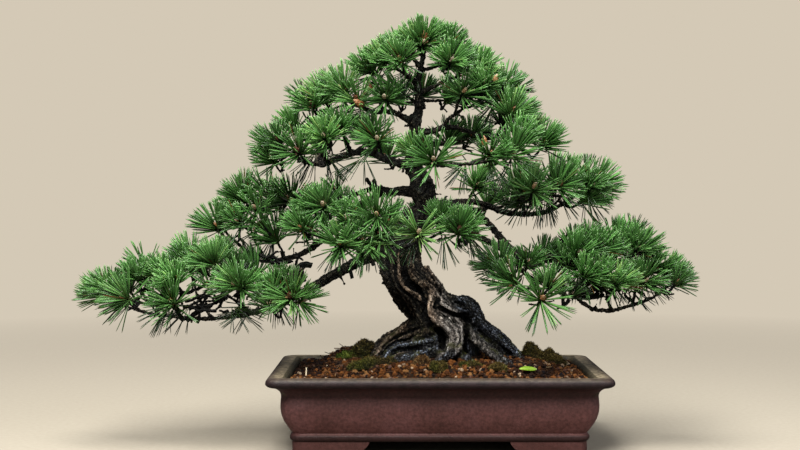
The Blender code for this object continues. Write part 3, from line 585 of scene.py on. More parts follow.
def laid_out(name, batches, smooth):
    """One mesh of many copies. A batch is (pattern, places, axes, bends, tints): where each copy
    stands, the directions and sizes of its three axes, how far its tip leans and its tint."""
    points, corners, tints, along = [], [], [], []
    count = 0
    for (shape, triangles), places, axes, bends, tint in batches:
        copies = np.repeat(shape[None], len(places), 0)
        copies[:, :, 0] += bends[:, None] * shape[None, :, 2] ** 2
        points.append((np.einsum("nij,nvj->nvi", axes, copies) + places[:, None]).reshape(-1, 3))
        first = np.arange(len(places))[:, None, None] * len(shape) + count
        corners.append((triangles[None] + first).reshape(-1, 3))
        tints.append(np.repeat(tint, len(shape)))
        along.append(np.tile(shape[:, 2], len(places)))
        count += len(places) * len(shape)
    points, corners = np.concatenate(points), np.concatenate(corners)
    mesh = bpy.data.meshes.new(name)
    mesh.vertices.add(len(points))
    mesh.vertices.foreach_set("co", points.astype(np.float32).ravel())
    mesh.loops.add(corners.size)
    mesh.loops.foreach_set("vertex_index", corners.astype(np.int32).ravel())
    mesh.polygons.add(len(corners))
    mesh.polygons.foreach_set("loop_start", np.arange(0, corners.size, 3, dtype=np.int32))
    mesh.polygons.foreach_set("use_smooth", np.full(len(corners), smooth))
    mesh.update(calc_edges=True)
    obj = bpy.data.objects.new(name, mesh)
    bpy.context.scene.collection.objects.link(obj)
    add_layer(obj, "tint", np.concatenate(tints))
    add_layer(obj, "along", np.concatenate(along))
    return obj


def random_turns(rng, count):
    """Rotation matrices that point any way."""
    w, x, y, z = rng.normal(size=(4, count))
    size = np.sqrt(w * w + x * x + y * y + z * z)
    w, x, y, z = w / size, x / size, y / size, z / size
    return np.array([[1 - 2 * (y * y + z * z), 2 * (x * y - z * w), 2 * (x * z + y * w)],
                     [2 * (x * y + z * w), 1 - 2 * (x * x + z * z), 2 * (y * z - x * w)],
                     [2 * (x * z - y * w), 2 * (y * z + x * w), 1 - 2 * (x * x + y * y)]]).transpose(2, 0, 1)


wood_surface = surface_of(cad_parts["trunk_roots_and_branches"])
moss_names = [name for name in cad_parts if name.startswith("moss_")]
moss_surfaces = [surface_of(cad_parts[name]) for name in moss_names]
DOWN = Vector((0, 0, -1))


def ground_under(x, y):
    """The height of the bed here, or nothing where wood or moss covers it."""
    high = Vector((x, y, RAY_START))
    under, _, _, _ = bed_surface.ray_cast(high, DOWN)
    if under is None:
        return None
    for cover in [wood_surface, *moss_surfaces]:
        over, _, _, _ = cover.ray_cast(high, DOWN)
        if over is not None and over.z > under.z + 0.0005:
            return None
    return under.z


def stone(seed):
    """One rough grain, knocked out of round."""
    bpy.ops.object.select_all(action="DESELECT")
    bpy.ops.mesh.primitive_ico_sphere_add(subdivisions=1, radius=1.0, location=(0, 0, 0))
    bpy.ops.object.mode_set(mode="EDIT")
    bpy.ops.mesh.select_all(action="SELECT")
    bpy.ops.transform.vertex_random(offset=0.24, seed=seed)
    bpy.ops.object.mode_set(mode="OBJECT")
    return pattern_of(bpy.context.object)


rng = np.random.default_rng(21)
batches = []
for seed in range(STONES):
    places, sizes = [], []
    while len(places) < GRAINS // STONES:
        x, y = rng.uniform(-INNER_X, INNER_X), rng.uniform(-INNER_Y, INNER_Y)
        size = rng.uniform(*GRAIN_RADIUS) * (1.0 if rng.random() < 0.93 else LARGER)
        spot = at(x, y, 0)
        ground = ground_under(spot.x, spot.y)
        if ground is None:
            if rng.random() < 0.02:
                places.append((spot.x, spot.y, BURIED))
                sizes.append(size)
            continue
        if abs(x) > INNER_X - size or abs(y) > INNER_Y - size:
            continue
        places.append((spot.x, spot.y, ground + (0.7 + rng.uniform(-0.35, 0.6) * size) * MM))
        sizes.append(size)
    sizes = np.array(sizes)
    axes = random_turns(rng, len(places)) * (sizes * MM)[:, None, None]
    axes = axes * rng.uniform(0.75, 1.1, (len(places), 1, 3))
    places = np.array(places)
    tint = rng.random(len(places))
    # Darker grains at the left end, at the back and by the leaf: darker humus, and by the leaf painted shade
    # as well
    x, y = (places[:, :2] - at(0, 0, 0).xy).T / MM
    dark_earth_and_shade = np.clip((-105 - x) / 30, 0, 1) * np.clip((y + 75) / 40, 0, 1)
    dark_earth_and_shade = np.maximum(dark_earth_and_shade, np.clip((y + 20) / 30, 0, 1) * 0.8)
    dark_earth_and_shade = np.maximum(dark_earth_and_shade, np.clip(1.8 - np.hypot(x - 100, (y + 58) * 1.2) / 22, 0, 1))
    darker = (rng.random(len(places)) < dark_earth_and_shade * 0.85) & (tint < 0.97)
    tint[darker] = rng.uniform(0.0, 0.22, darker.sum())
    batches.append((stone(seed), places, axes, np.zeros(len(places)), tint))
grains = laid_out("loose_grains", batches, False)
akadama, tree, shader = new_material("akadama_grains")
baked = ramp(tree, attribute(tree, "tint"),
             [(0.0, (0.009, 0.007, 0.008)), (0.16, (0.030, 0.012, 0.005)), (0.34, (0.058, 0.020, 0.006)),
              (0.55, (0.110, 0.037, 0.009)), (0.74, (0.180, 0.063, 0.015)), (0.87, (0.25, 0.120, 0.040)),
              (0.94, (0.10, 0.045, 0.036)), (0.99, (0.42, 0.30, 0.19))])
baked = shaded(tree, baked, between(tree, patch(tree, 900.0, 2.0), 0.2, 0.9, 0.62, 1.25))
feed(tree, shader, Specular_IOR_Level=0.12, Base_Color=baked, Roughness=varied(tree, 500.0, 2.0, 0.7, 0.95),
     Normal=pitted(tree, 1800.0, 0.8, 0.0006))
settle(grains, akadama, "soil")


# ------------------------------------------------------------------------------------------------
# The trunk and the roots: old pine wood under plated bark, twisted as it grew. Ridges flow down the
# trunk into the roots, some worn bare and pale by the weather, and the roots near the soil are wet.

TRUNK_LINE = [(10, 4, 60), (10, 4, 95), (8, 4, 122), (2, 4, 140), (-12, 4, 157), (-26, 2, 173),
              (-37, 0, 190), (-40, 0, 207), (-36, 0, 226), (-26, 0, 244), (-13, 0, 259), (-15, 0, 272),
              (-18, 0, 286)]
# Ridges on the front: (worn, wet, thickness, how far it stands out, places along and up)
FLOWS = [
    (0.6, 0.0, 3.3, 0.7, [(-43, 207), (-44, 193), (-43, 182), (-38, 172), (-28, 168), (-20, 162),
                          (-15, 153)]),
    (0.0, 0.0, 3.6, 0.6, [(-60, 206), (-59, 188), (-54, 172), (-44, 158), (-35, 143), (-30, 137)]),
    (0.1, 0.0, 3.0, 0.6, [(-51, 202), (-51, 188), (-46, 175), (-38, 162), (-30, 150), (-25, 140)]),
    (0.35, 0.0, 4.8, 0.6, [(-33, 212), (-33, 193), (-27, 182), (-18, 175), (-10, 176)]),
    (0.4, 0.0, 2.8, 0.6, [(-19, 206), (-14, 194), (-3, 182), (5, 172), (10, 164), (15, 157), (21, 152)]),
    (0.95, 0.0, 3.4, 0.8, [(-8, 178), (-2, 169), (2, 159), (7, 151), (15, 148), (23, 147), (30, 145)]),
    (0.6, 0.0, 2.2, 0.8, [(-3, 176), (4, 166), (9, 157), (16, 153), (24, 151)]),
    (1.0, 0.0, 4.6, 1.0, [(-5, 167), (-10, 161), (-12, 153), (-10, 144), (-3, 137), (7, 132), (13, 125),
                          (16, 116), (12, 106), (2, 97), (-3, 91)]),
    (1.0, 0.0, 3.8, 1.0, [(-2, 150), (8, 143), (18, 140), (25, 130), (27, 121), (25, 111), (17, 103),
                          (10, 95)]),
    (0.9, 0.0, 2.0, 1.1, [(-6, 158), (-8, 148), (-1, 140), (9, 136), (18, 129), (21, 119), (18, 108),
                          (8, 98)]),
    (0.0, 1.0, 4.0, 0.5, [(23, 158), (31, 159), (37, 153), (41, 145), (44, 136), (51, 127)]),
    (0.0, 1.0, 4.6, 0.5, [(50, 130), (60, 122), (71, 112), (82, 102), (91, 94)]),
    (0.0, 0.9, 3.4, 0.6, [(30, 152), (36, 146), (38, 138), (41, 130), (48, 124), (60, 113), (72, 101)]),
    (0.45, 0.1, 4.8, 0.7, [(34, 125), (39, 118), (45, 111), (53, 105), (61, 98), (69, 91)]),
    (0.6, 0.0, 3.2, 0.9, [(-34, 131), (-44, 122), (-54, 116), (-62, 108), (-69, 97)]),
    (0.25, 0.0, 3.2, 0.9, [(-8, 126), (-18, 123), (-28, 120), (-38, 116), (-46, 114)]),
    (0.6, 0.0, 2.0, 1.0, [(-40, 116), (-55, 112), (-65, 103), (-71, 94)]),
    (0.0, 1.0, 4.2, 0.9, [(-1, 117), (-14, 113), (-30, 111), (-44, 109), (-54, 102), (-60, 94)]),
    (0.6, 0.1, 2.4, 1.0, [(-36, 103), (-46, 101), (-54, 97), (-60, 92)]),
    (0.2, 0.8, 2.8, 0.9, [(-2, 110), (-10, 105), (-20, 101), (-30, 98)]),
]
# Crevices between them: (depth, half width, places along and up)
CREVICES = [
    (5.0, 4.0, [(10, 170), (13, 162), (17, 156), (25, 153), (34, 148), (37, 140), (33, 133)]),
    (3.0, 2.4, [(-22, 128), (-34, 122), (-44, 118), (-54, 112), (-61, 106)]),
    (3.5, 2.2, [(-5, 121), (-18, 118), (-32, 114.5), (-46, 112), (-55, 106), (-61, 99)]),
    (4.5, 3.0, [(-4, 112), (-16, 108), (-30, 106), (-44, 104.5), (-52, 100), (-57, 93)]),
    (4.0, 5.0, [(-39, 203), (-37, 188), (-33, 177), (-25, 171), (-16, 167)]),
    (5.5, 5.5, [(-14, 163), (-17, 152), (-16, 141), (-9, 130), (1, 125), (6, 117), (4, 108)]),
    (4.5, 4.0, [(0, 160), (-3, 152), (5, 147), (15, 143), (26, 141)]),
    (6.0, 5.5, [(30, 141), (33, 134), (30, 125), (31, 114), (30, 103), (34, 95)]),
    (5.0, 4.5, [(40, 129), (52, 118), (65, 107), (78, 98)]),
    (3.0, 2.6, [(-56, 203), (-55, 188), (-49, 172), (-40, 158), (-32, 145)]),
    (3.0, 2.6, [(-47, 198), (-47, 182), (-41, 170), (-32, 163), (-25, 154), (-20, 142)]),
    (3.0, 2.4, [(-27, 204), (-23, 192), (-12, 182), (-2, 172), (3, 164)]),
]
# Where the trunk's outline is cut in on the right and filled out on the left: (height, distance)
WAIST = [(153, 0.0), (159, 6.0), (163, 12.5), (169, 13.5), (176, 11.5), (182, 9.5), (192, 6.5),
         (205, 2.0), (212, 0.0)]
SWELL = [(130, 0.0), (145, 2.0), (160, 3.0), (185, 3.0), (200, 2.5), (214, 0.0)]
# Roots and branches that are thicker than in the frame: (x, y, z, radius)
THICKER = [
    [(15, -10, 151.5, 8.5), (26, -11, 154, 10.3), (36.3, -12, 149.5, 10.5), (41.5, -13, 139, 10),
     (47, -14, 128.5, 9), (56.5, -14, 122.5, 8.4), (67.4, -16, 115, 8.4), (78.5, -19, 104, 7.8),
     (86, -21, 96.6, 6.6), (93, -23, 88, 5)],
    [(-40, 0, 216, 8), (-60, -3, 210, 7.2), (-84, -8, 202, 6.6), (-108, -13, 189, 5.8), (-132, -18, 175, 5),
     (-150, -22, 164, 4.4)],
    [(-14, -20, 133, 7), (-19, -22, 128, 8.5), (-24, -24, 122, 7)],
    [(-56, -2, 189, 3.6), (-63.5, -2, 188, 3.2), (-65, -2, 184, 2.2)],
    [(-53, -2, 178, 3.4), (-60.5, -2, 177, 2.8), (-61.5, -2, 173.5, 2)],
    [(-28, -6, 131, 7), (-45, -10, 118, 7), (-56, -12, 114, 7), (-66, -14, 105, 6), (-75, -16, 95, 5)],
]
# Where the bark is soaked black: (half width, places along and up)
SOAKED = [(15, [(27, 153), (39, 147), (45, 134), (56, 122), (67, 115), (78, 104), (92, 90)]),
          (5, [(-1, 117), (-14, 113), (-30, 111), (-44, 109), (-54, 102)]),
          (11, [(12, 99), (4, 93), (-5, 88)]), (7, [(-4, 108), (-20, 102), (-36, 97)]),
          (7, [(30, 112), (33, 102), (36, 92)])]
# Ridges round the back: (angle at the foot, foot height, top height, turn to the top, thickness)
BACK_RIDGES = [(10, 112, 236, -30, 3.0), (34, 104, 240, -26, 3.6), (62, 100, 234, 24, 3.8),
               (88, 100, 230, -24, 3.6), (114, 98, 240, 22, 3.8), (142, 98, 236, 26, 3.6),
               (168, 98, 226, 20, 3.0)]
RIDGE_STEPS = 15
OUTSIDE, FARTHEST = 0.09, 0.055  # in metres: rays come in from here, and find the trunk within this
PLATES = 260
KNOBS = 230
STUBS = 120
TRUNK_TOP, BRANCHES_FROM = 277, 271  # the trunk ends and the branches start at these heights
BEND_X = -15  # where the trunk's top bend is
WEDGE = 0.6  # in metres: larger than the plant
SIDE_REACH = 22  # this far from its middle, the trunk's side is moved all the way
BACKWARDS = Vector((0, 1, 0))  # rays cast at the trunk's front go this way
BEFORE = -160  # and start here
OFF_TO_ONE_SIDE = (1.3137, 0.7719, 0.3313)  # in metres


def trunk_middle(height):
    """The middle of the trunk at this height, from the middle of the pot."""
    rows = TRUNK_LINE
    for low, high in zip(rows, rows[1:]):
        if height <= high[2]:
            share = (height - low[2]) / (high[2] - low[2])
            return low[0] + (high[0] - low[0]) * share, low[1] + (high[1] - low[1]) * share
    return rows[-1][:2]


def bent_rods(name, rods, sides):
    """Round rods along smooth lines of (place, radius), as one mesh with closed ends."""
    line = bpy.data.curves.new(name, "CURVE")
    line.dimensions = "3D"
    line.bevel_depth = 1.0
    line.bevel_resolution = sides
    line.use_fill_caps = True
    line.resolution_u = 4
    for rod in rods:
        spline = line.splines.new("NURBS")
        spline.points.add(len(rod) - 1)
        spline.use_endpoint_u = True
        spline.order_u = 3
        for point, (place, radius) in zip(spline.points, rod):
            point.co = (*place, 1.0)
            point.radius = radius
    guide = bpy.data.objects.new(name, line)
    bpy.context.scene.collection.objects.link(guide)
    mesh = bpy.data.meshes.new_from_object(guide.evaluated_get(bpy.context.evaluated_depsgraph_get()))
    bpy.data.objects.remove(guide, do_unlink=True)
    made = bpy.data.objects.new(name, mesh)
    bpy.context.scene.collection.objects.link(made)
    return made


def joined(first, others):
    """Makes several pieces one object."""
    bpy.ops.object.select_all(action="DESELECT")
    for other in [first, *others]:
        other.select_set(True)
    bpy.context.view_layer.objects.active = first
    bpy.ops.object.join()
    return first


def remesh(obj, size):
    """Makes a piece one closed skin of squares this many millimetres wide. They come in any order,
    and what follows needs the same one each time, so they are sorted by how far they are from a
    place off to one side."""
    modifier(obj, "REMESH", mode="VOXEL", voxel_size=size * MM)
    bpy.context.scene.cursor.location = OFF_TO_ONE_SIDE
    bpy.ops.object.mode_set(mode="EDIT")
    bpy.ops.mesh.select_all(action="SELECT")
    bpy.ops.mesh.sort_elements(type="CURSOR_DISTANCE", elements={"VERT", "EDGE", "FACE"})
    bpy.ops.object.mode_set(mode="OBJECT")


def wedge(apex):
    """A block whose ridge runs front to back at this height over the trunk's top bend."""
    bpy.ops.object.select_all(action="DESELECT")
    middle = at(BEND_X, 0, apex - WEDGE / MM / math.sqrt(2))
    bpy.ops.mesh.primitive_cube_add(size=WEDGE, location=middle, rotation=(0, math.radians(45), 0))
    made = bpy.context.object
    bpy.ops.object.transform_apply()
    return made


def eased_in(share):
    """A share held between 0 and 1 that starts and ends gently."""
    share = np.clip(share, 0, 1)
    return share * share * (3 - 2 * share)


def in_place(rod):
    """A rod of (x, y, z, radius) in millimetres as places and radii in metres."""
    return [(at(x, y, z), radius * MM) for x, y, z, radius in rod]


trunk = merged_copy("trunk_and_roots", "trunk_roots_and_branches")
branches = merged_copy("branches", "trunk_roots_and_branches")
boolean(trunk, wedge(TRUNK_TOP), "INTERSECT")
boolean(branches, wedge(BRANCHES_FROM), "DIFFERENCE")
remesh(trunk, 2.0)
places, _ = skin_of(trunk)
local = (places - np.array(at(0, 0, 0))) / MM
heights = [row[2] for row in TRUNK_LINE]
to_right = local[:, 0] - np.interp(local[:, 2], heights, [row[0] for row in TRUNK_LINE])
shift = eased_in(to_right / SIDE_REACH) * np.interp(local[:, 2], *zip(*WAIST))
shift += eased_in(-to_right / SIDE_REACH) * np.interp(local[:, 2], *zip(*SWELL))
places[:, 0] -= shift * MM
set_skin(trunk, places)
rods = [in_place(rod) for rod in THICKER]
joined(trunk, [bent_rods("thicker", rods[:1] + rods[2:], 3)])
joined(branches, [bent_rods("thicker", rods[1:2], 3)])
remesh(trunk, 1.6)
trunk_surface = surface_of(trunk)

rods = []
for _, _, thick, stand, line in FLOWS:
    rod = []
    for step, (x, z) in enumerate(line):
        hit, _, _, _ = trunk_surface.ray_cast(at(x, BEFORE, z), BACKWARDS)
        if hit is None:
            continue
        end = 0.62 if step in (0, len(line) - 1) else 1.0
        swell = thick * end * (1 + 0.14 * math.sin(step * 2.1 + x))
        rod.append((hit + Vector((0, (1 - stand) * swell * MM, 0)), swell * MM))
    rods.append(rod)
for foot_angle, foot, top, turn, thick in BACK_RIDGES:
    rod = []
    for step in range(RIDGE_STEPS):
        share = step / (RIDGE_STEPS - 1)
        height = foot + (top - foot) * share
        angle = math.radians(foot_angle + turn * share + 5.0 * math.sin(share * 9.0 + foot_angle))
        middle_x, middle_y = trunk_middle(height)
        inside = at(middle_x, middle_y, height)
        outward = Vector((math.cos(angle), math.sin(angle), 0))
        hit, _, _, _ = trunk_surface.ray_cast(inside + outward * OUTSIDE, -outward)
        if hit is None or (hit - inside).length > FARTHEST:
            continue
        swell = thick * (0.6 + 0.4 * math.sin(math.pi * share))
        swell *= 1 + 0.16 * math.sin(share * 23 + foot_angle)
        rod.append((hit - outward * 0.4 * swell * MM, swell * MM))
    if len(rod) > 3:
        rods.append(rod)
ridges = bent_rods("ridges", rods, 2)


def scattered(obj, count, rng, lowest_up):
    """Places all over a piece's skin, with the way that the skin faces there."""
    mesh = obj.data
    mesh.calc_loop_triangles()
    corners = np.array([[mesh.vertices[i].co for i in t.vertices] for t in mesh.loop_triangles])
    cross = np.cross(corners[:, 1] - corners[:, 0], corners[:, 2] - corners[:, 0])
    area = np.linalg.norm(cross, axis=1)
    facing = cross / np.maximum(area, 1e-12)[:, None]
    area = area * (facing[:, 2] > lowest_up)
    chosen = rng.choice(len(area), count, p=area / area.sum())
    a, b = rng.random((2, count))
    fold = a + b > 1
    a[fold], b[fold] = 1 - a[fold], 1 - b[fold]
    c = corners[chosen]
    spots = c[:, 0] + a[:, None] * (c[:, 1] - c[:, 0]) + b[:, None] * (c[:, 2] - c[:, 0])
    return spots, facing[chosen]


# Plates of bark that stand out at the trunk's sides
rng = np.random.default_rng(15)
rods = []
for spot, out in zip(*scattered(trunk, PLATES, rng, -1.0)):
    if abs(out[1]) < 0.75 and spot[2] > at(0, 0, 132).z and spot[0] < at(24, 0, 0).x:
        spot, out, size = Vector(spot), Vector(out), rng.uniform(2.0, 3.8)
        rods.append([(spot - out * size * 0.5 * MM, size * 0.8 * MM),
                     (spot + out * size * 0.1 * MM, size * MM),
                     (spot + out * size * 0.55 * MM - Vector((0, 0, 0.6 * size * MM)), size * 0.5 * MM)])
plates = bent_rods("plates", rods, 1)

# Knobs and dead stubs all along the branches, where shoots were cut or fell
rng = np.random.default_rng(8)
rods = []
spots, facing = scattered(branches, KNOBS + STUBS, rng, -1.0)
for i, (spot, out) in enumerate(zip(spots, facing)):
    spot, out = Vector(spot), Vector(out)
    across, _, _, thick = wood_surface.ray_cast(spot - out * 0.0002, -out)
    thick = 3.0 if across is None else min(12.0, thick / MM)
    if i < KNOBS:
        size = thick * rng.uniform(0.24, 0.42)
        aim = (out + Vector(rng.normal(0, 0.3, 3))).normalized()
        rods.append([(spot - aim * size * 0.6 * MM, size * 0.7 * MM),
                     (spot + aim * size * 0.1 * MM, size * MM),
                     (spot + aim * size * 0.8 * MM, size * 0.55 * MM)])
    else:
        aim = (out + Vector(rng.normal(0, 0.5, 3)) + Vector((0, 0, -0.15))).normalized()
        long, wide = rng.uniform(3.5, 11.0), rng.uniform(0.9, 1.5)
        bend = Vector(rng.normal(0, 1.6, 3))
        rods.append([(spot - aim * MM, wide * 1.3 * MM),
                     (spot + (aim * long * 0.5 + bend * 0.5) * MM, wide * MM),
                     (spot + (aim * long + bend) * MM, wide * 1.25 * MM)])
knobs = bent_rods("knobs", rods, 1)

joined(trunk, [ridges, plates])
joined(branches, [knobs])
remesh(trunk, 1.15)
modifier(trunk, "SMOOTH", factor=0.5, iterations=2)
remesh(branches, 1.0)
modifier(branches, "SMOOTH", factor=0.5, iterations=2)


def nearness(line, points, reach):
    """1 on a line drawn on the front, down to 0 this many millimetres from it."""
    line, flat = np.array(line, float), points[:, [0, 2]]
    best = np.full(len(points), 1e9)
    for a, b in zip(line, line[1:]):
        way = b - a
        share = np.clip(((flat - a) @ way) / (way @ way), 0, 1)
        best = np.minimum(best, np.linalg.norm(flat - a - share[:, None] * way, axis=1))
    return eased_in(1 - best / reach)


def relief_of(obj, rounds):
    """How far each point stands out of the same skin smoothed this many times, in millimetres."""
    places, facing = skin_of(obj)
    twin = bpy.data.objects.new("smoothed", obj.data.copy())
    bpy.context.scene.collection.objects.link(twin)
    modifier(twin, "SMOOTH", factor=0.7, iterations=rounds)
    smooth, _ = skin_of(twin)
    bpy.data.objects.remove(twin, do_unlink=True)
    return ((places - smooth) * facing).sum(axis=1) / MM


def roughen(obj, bark_height, on_trunk, kept):
    """Moves the skin in and out for the ridges, plates and cracks of the bark, and keeps what the
    material needs as layers: how far each place stands out, how worn it is and how wet. Only this
    share of the faces is kept."""
    places, facing = skin_of(obj)
    local = (places - np.array(at(0, 0, 0))) / MM
    worn, wet, sunk = np.zeros(len(local)), np.zeros(len(local)), np.zeros(len(local))
    if on_trunk:
        front = np.clip(0.6 - facing[:, 1], 0, 1)
        for worth, soaked, thick, _, line in FLOWS:
            near = nearness(line, local, thick * 2.0) * front
            worn = np.maximum(worn, worth * near)
            wet = np.maximum(wet, soaked * near)
        for depth, wide, line in CREVICES:
            sunk = np.maximum(sunk, depth * nearness(line, local, wide) * front)
        for wide, line in SOAKED:
            wet = np.maximum(wet, np.minimum(1.0, 1.6 * nearness(line, local, wide)) * front)
        worn *= np.clip(1 - sunk / 4, 0, 1) * (1 - wet)
        low_and_dark = np.clip((110 - local[:, 2]) / 14, 0, 1) * (1 - worn)
        wet = np.maximum(wet, 0.75 * low_and_dark)
    shift = np.zeros(len(local))
    for i, (x, y, z) in enumerate(local):
        if on_trunk:
            middle_x, middle_y = trunk_middle(z)
            angle = math.atan2(y - middle_y, x - middle_x) + z / 90.0
            flow = Vector((6.0 * math.cos(angle), 6.0 * math.sin(angle), z / 26.0))
            reach = math.hypot(x - 8, y - 4)
            angle = math.atan2(y - 4, x - 8)
            spread = Vector((7.0 * math.cos(angle), 7.0 * math.sin(angle), reach / 24.0 + 40.0))
            share = min(1.0, max(0.0, (z - 104.0) / 34.0))
            long_grain = noise.noise(flow) * share + noise.noise(spread) * (1 - share)
            fine_grain = noise.noise(flow * 2.6) * share + noise.noise(spread * 2.6) * (1 - share)
            crag = Vector((x / 4.6, y / 4.6, z / 7.5))
        else:
            long_grain = noise.noise(Vector((x, y, z)) / 7.0)
            fine_grain = noise.noise(Vector((x, y, z)) / 3.0)
            crag = Vector((x, y, z)) / 3.4
        crag += 0.35 * noise.noise_vector(crag * 1.7)
        near, second = noise.voronoi(crag)[0][:2]
        crack = max(0.0, 1.0 - (second - near) / 0.25)
        plate = (1 - 0.75 * worn[i]) * (1 - 0.5 * wet[i])
        fine = noise.noise(Vector((x, y, z)) / 1.5)
        shift[i] = 0.5 - 1.1 * abs(long_grain) - 0.7 * abs(fine_grain) - 0.75 * crack * plate + 0.25 * fine
    places += facing * ((bark_height * shift - sunk) * MM)[:, None]
    set_skin(obj, places)
    # The bark's colour is darkened in the hollows and lightened on the ridges by this layer: painted shade
    # and painted light
    relief = 0.5 + 0.42 * relief_of(obj, 5) + 0.20 * relief_of(obj, 28)
    for name, values in (("relief", relief), ("worn", worn), ("wet", wet)):
        add_layer(obj, name, values)
    modifier(obj, "DECIMATE", ratio=kept)
    bpy.ops.object.select_all(action="DESELECT")
    obj.select_set(True)
    bpy.context.view_layer.objects.active = obj
    bpy.ops.object.shade_smooth()


# The noise that bends the cracks would start from the clock if it were given no number
noise.seed_set(1)
roughen(trunk, bark_height=2.0, on_trunk=True, kept=0.68)
roughen(branches, bark_height=1.2, on_trunk=False, kept=0.42)

# A net of dark cracks in the bark
cracks, given, result = effect("cracks", ("Scale",), "Mask")
place = put(cracks, "TexCoord").outputs["Object"]
stray = put(cracks, "TexNoise", Vector=place, Scale=150.0, Detail=4.0).outputs["Color"]
stray = put(cracks, "VectorMath", {"operation": "MULTIPLY"}, i0=stray, i1=(0.012, 0.012, 0.012)).outputs[0]
place = put(cracks, "VectorMath", {"operation": "MULTIPLY"}, i0=place, i1=(1.0, 1.0, 0.6)).outputs[0]
place = put(cracks, "VectorMath", {"operation": "ADD"}, i0=place, i1=stray).outputs[0]
edge = put(cracks, "TexVoronoi", {"feature": "DISTANCE_TO_EDGE"}, Vector=place, Scale=given["Scale"])
cracks.links.new(between(cracks, edge.outputs["Distance"], 0.01, 0.20), result)

bark, tree, shader = new_material("old_bark")
relief, worn, wet = (attribute(tree, name) for name in ("relief", "worn", "wet"))
# These ramps run dark in the hollows and pale on the ridges by the relief layer: painted shade in the
# crevices and painted light on the ridge tops, over the bark's own darker and paler parts
rough_bark = ramp(tree, relief, [(0.18, (0.0012, 0.0010, 0.0006)), (0.45, (0.006, 0.005, 0.0032)),
                                (0.68, (0.034, 0.028, 0.017)), (0.92, (0.130, 0.108, 0.074))])
# Bare wood is tan to the left and grey to the right
grey = ramp(tree, relief, [(0.15, (0.003, 0.0025, 0.002)), (0.38, (0.045, 0.037, 0.032)),
                           (0.60, (0.30, 0.262, 0.228)), (0.86, (0.90, 0.83, 0.76))])
tan = ramp(tree, relief, [(0.15, (0.003, 0.0025, 0.002)), (0.38, (0.055, 0.034, 0.022)),
                          (0.60, (0.29, 0.182, 0.105)), (0.86, (0.82, 0.60, 0.42))])
bare = blend(tree, between(tree, place_along(tree, "X"), 0.049, 0.069), tan, grey)
skin = blend(tree, worn, rough_bark, bare)
skin = shaded(tree, skin, varied(tree, 210.0, 3.0, 0.45, 1.3))
# Wet bark is near black, and its pale blue top stop on the ridges is a painted reflection of the sky
soaked = ramp(tree, relief, [(0.2, (0.0006, 0.0006, 0.0008)), (0.60, (0.0030, 0.0034, 0.0046)),
                             (0.92, (0.085, 0.105, 0.150))])
skin = blend(tree, product(tree, wet, 0.94), skin, soaked)
fissures = put(tree, "Group", {"node_tree": cracks}, Scale=190.0).outputs["Mask"]
# The cracks darken the colour: painted shade in them
opened = between(tree, fissures, 0.0, 1.0, 0.15, 1.08)
skin = shaded(tree, skin, number(tree, "MAXIMUM", opened, product(tree, worn, 1.05)))
# Green algae low down, a film of moss on the front root, and lichen higher up
up = facing_up(tree)
height = place_along(tree, "Z")
green = product(tree, between(tree, patch(tree, 75.0, 4.0), 0.52, 0.85), between(tree, height, 0.140, 0.104),
                between(tree, up, 0.0, 0.6, 0.3, 0.95))
skin = blend(tree, green, skin, (0.070, 0.072, 0.014, 1.0))
moss_film = product(tree, between(tree, distance_from(tree, at(38, -66, 118)), 0.010, 0.022, 0.9, 0.0),
                    between(tree, patch(tree, 240.0, 3.0), 0.3, 0.6))
skin = blend(tree, moss_film, skin, (0.120, 0.125, 0.028, 1.0))
lichen = product(tree, between(tree, patch(tree, 110.0, 4.0), 0.75, 1.0),
                 between(tree, height, 0.14, 0.30, 0.0, 0.5))
skin = blend(tree, lichen, skin, (0.055, 0.068, 0.050, 1.0))
# Painted highlights: bluish-white specks in the colour of the wet, upward-facing ridges, for the sky caught
# by drops and wet edges
painted_glints = product(tree, between(tree, patch(tree, 430.0, 2.5), 0.58, 0.74), between(tree, wet, 0.80, 0.98),
                 between(tree, up, -0.3, 0.4, 0.0, 1.0), between(tree, relief, 0.42, 0.72))
skin = blend(tree, painted_glints, skin, (0.46, 0.53, 0.66, 1.0))
scaly = put(tree, "Bump", Strength=1.0, Distance=0.0022, Height=fissures,
            Normal=pitted(tree, 1200.0, 0.9, 0.0008)).outputs["Normal"]
feed(tree, shader, Base_Color=skin, Specular_IOR_Level=0.25, Normal=scaly, Coat_Normal=scaly,
     Roughness=number(tree, "SUBTRACT", varied(tree, 140.0, 2.0, 0.62, 0.9), product(tree, wet, 0.40)),
     Coat_Weight=number(tree, "MULTIPLY", wet, 1.1, clamp=True), Coat_Roughness=0.12)
settle(trunk, bark, "bark", "trunk_roots_and_branches")
settle(branches, bark, "bark", "trunk_roots_and_branches")


# ------------------------------------------------------------------------------------------------
# The moss: damp cushions of short tangled stems that grow against the roots, green where they are
# fresh and olive to brown where they are old. Each is a lumpy body set all over with small stems.

STEMS = 1500
# Cushions that fill the gaps between the larger ones: (half length, half depth, x, y, height)
SMALL_MOSS = {"moss_under_root": (14, 10, -56, -54, 6.0), "moss_bright": (14, 14, -100, -12, 4.5),
              "moss_root_gap": (9, 8, -18, -63, 10.0), "moss_mid_root": (16, 8, 34, -66, 5.0),
              "moss_small_right": (7, 7, 92, -20, 7.0), "moss_brown": (13, 12, 130, -14, 10.0)}
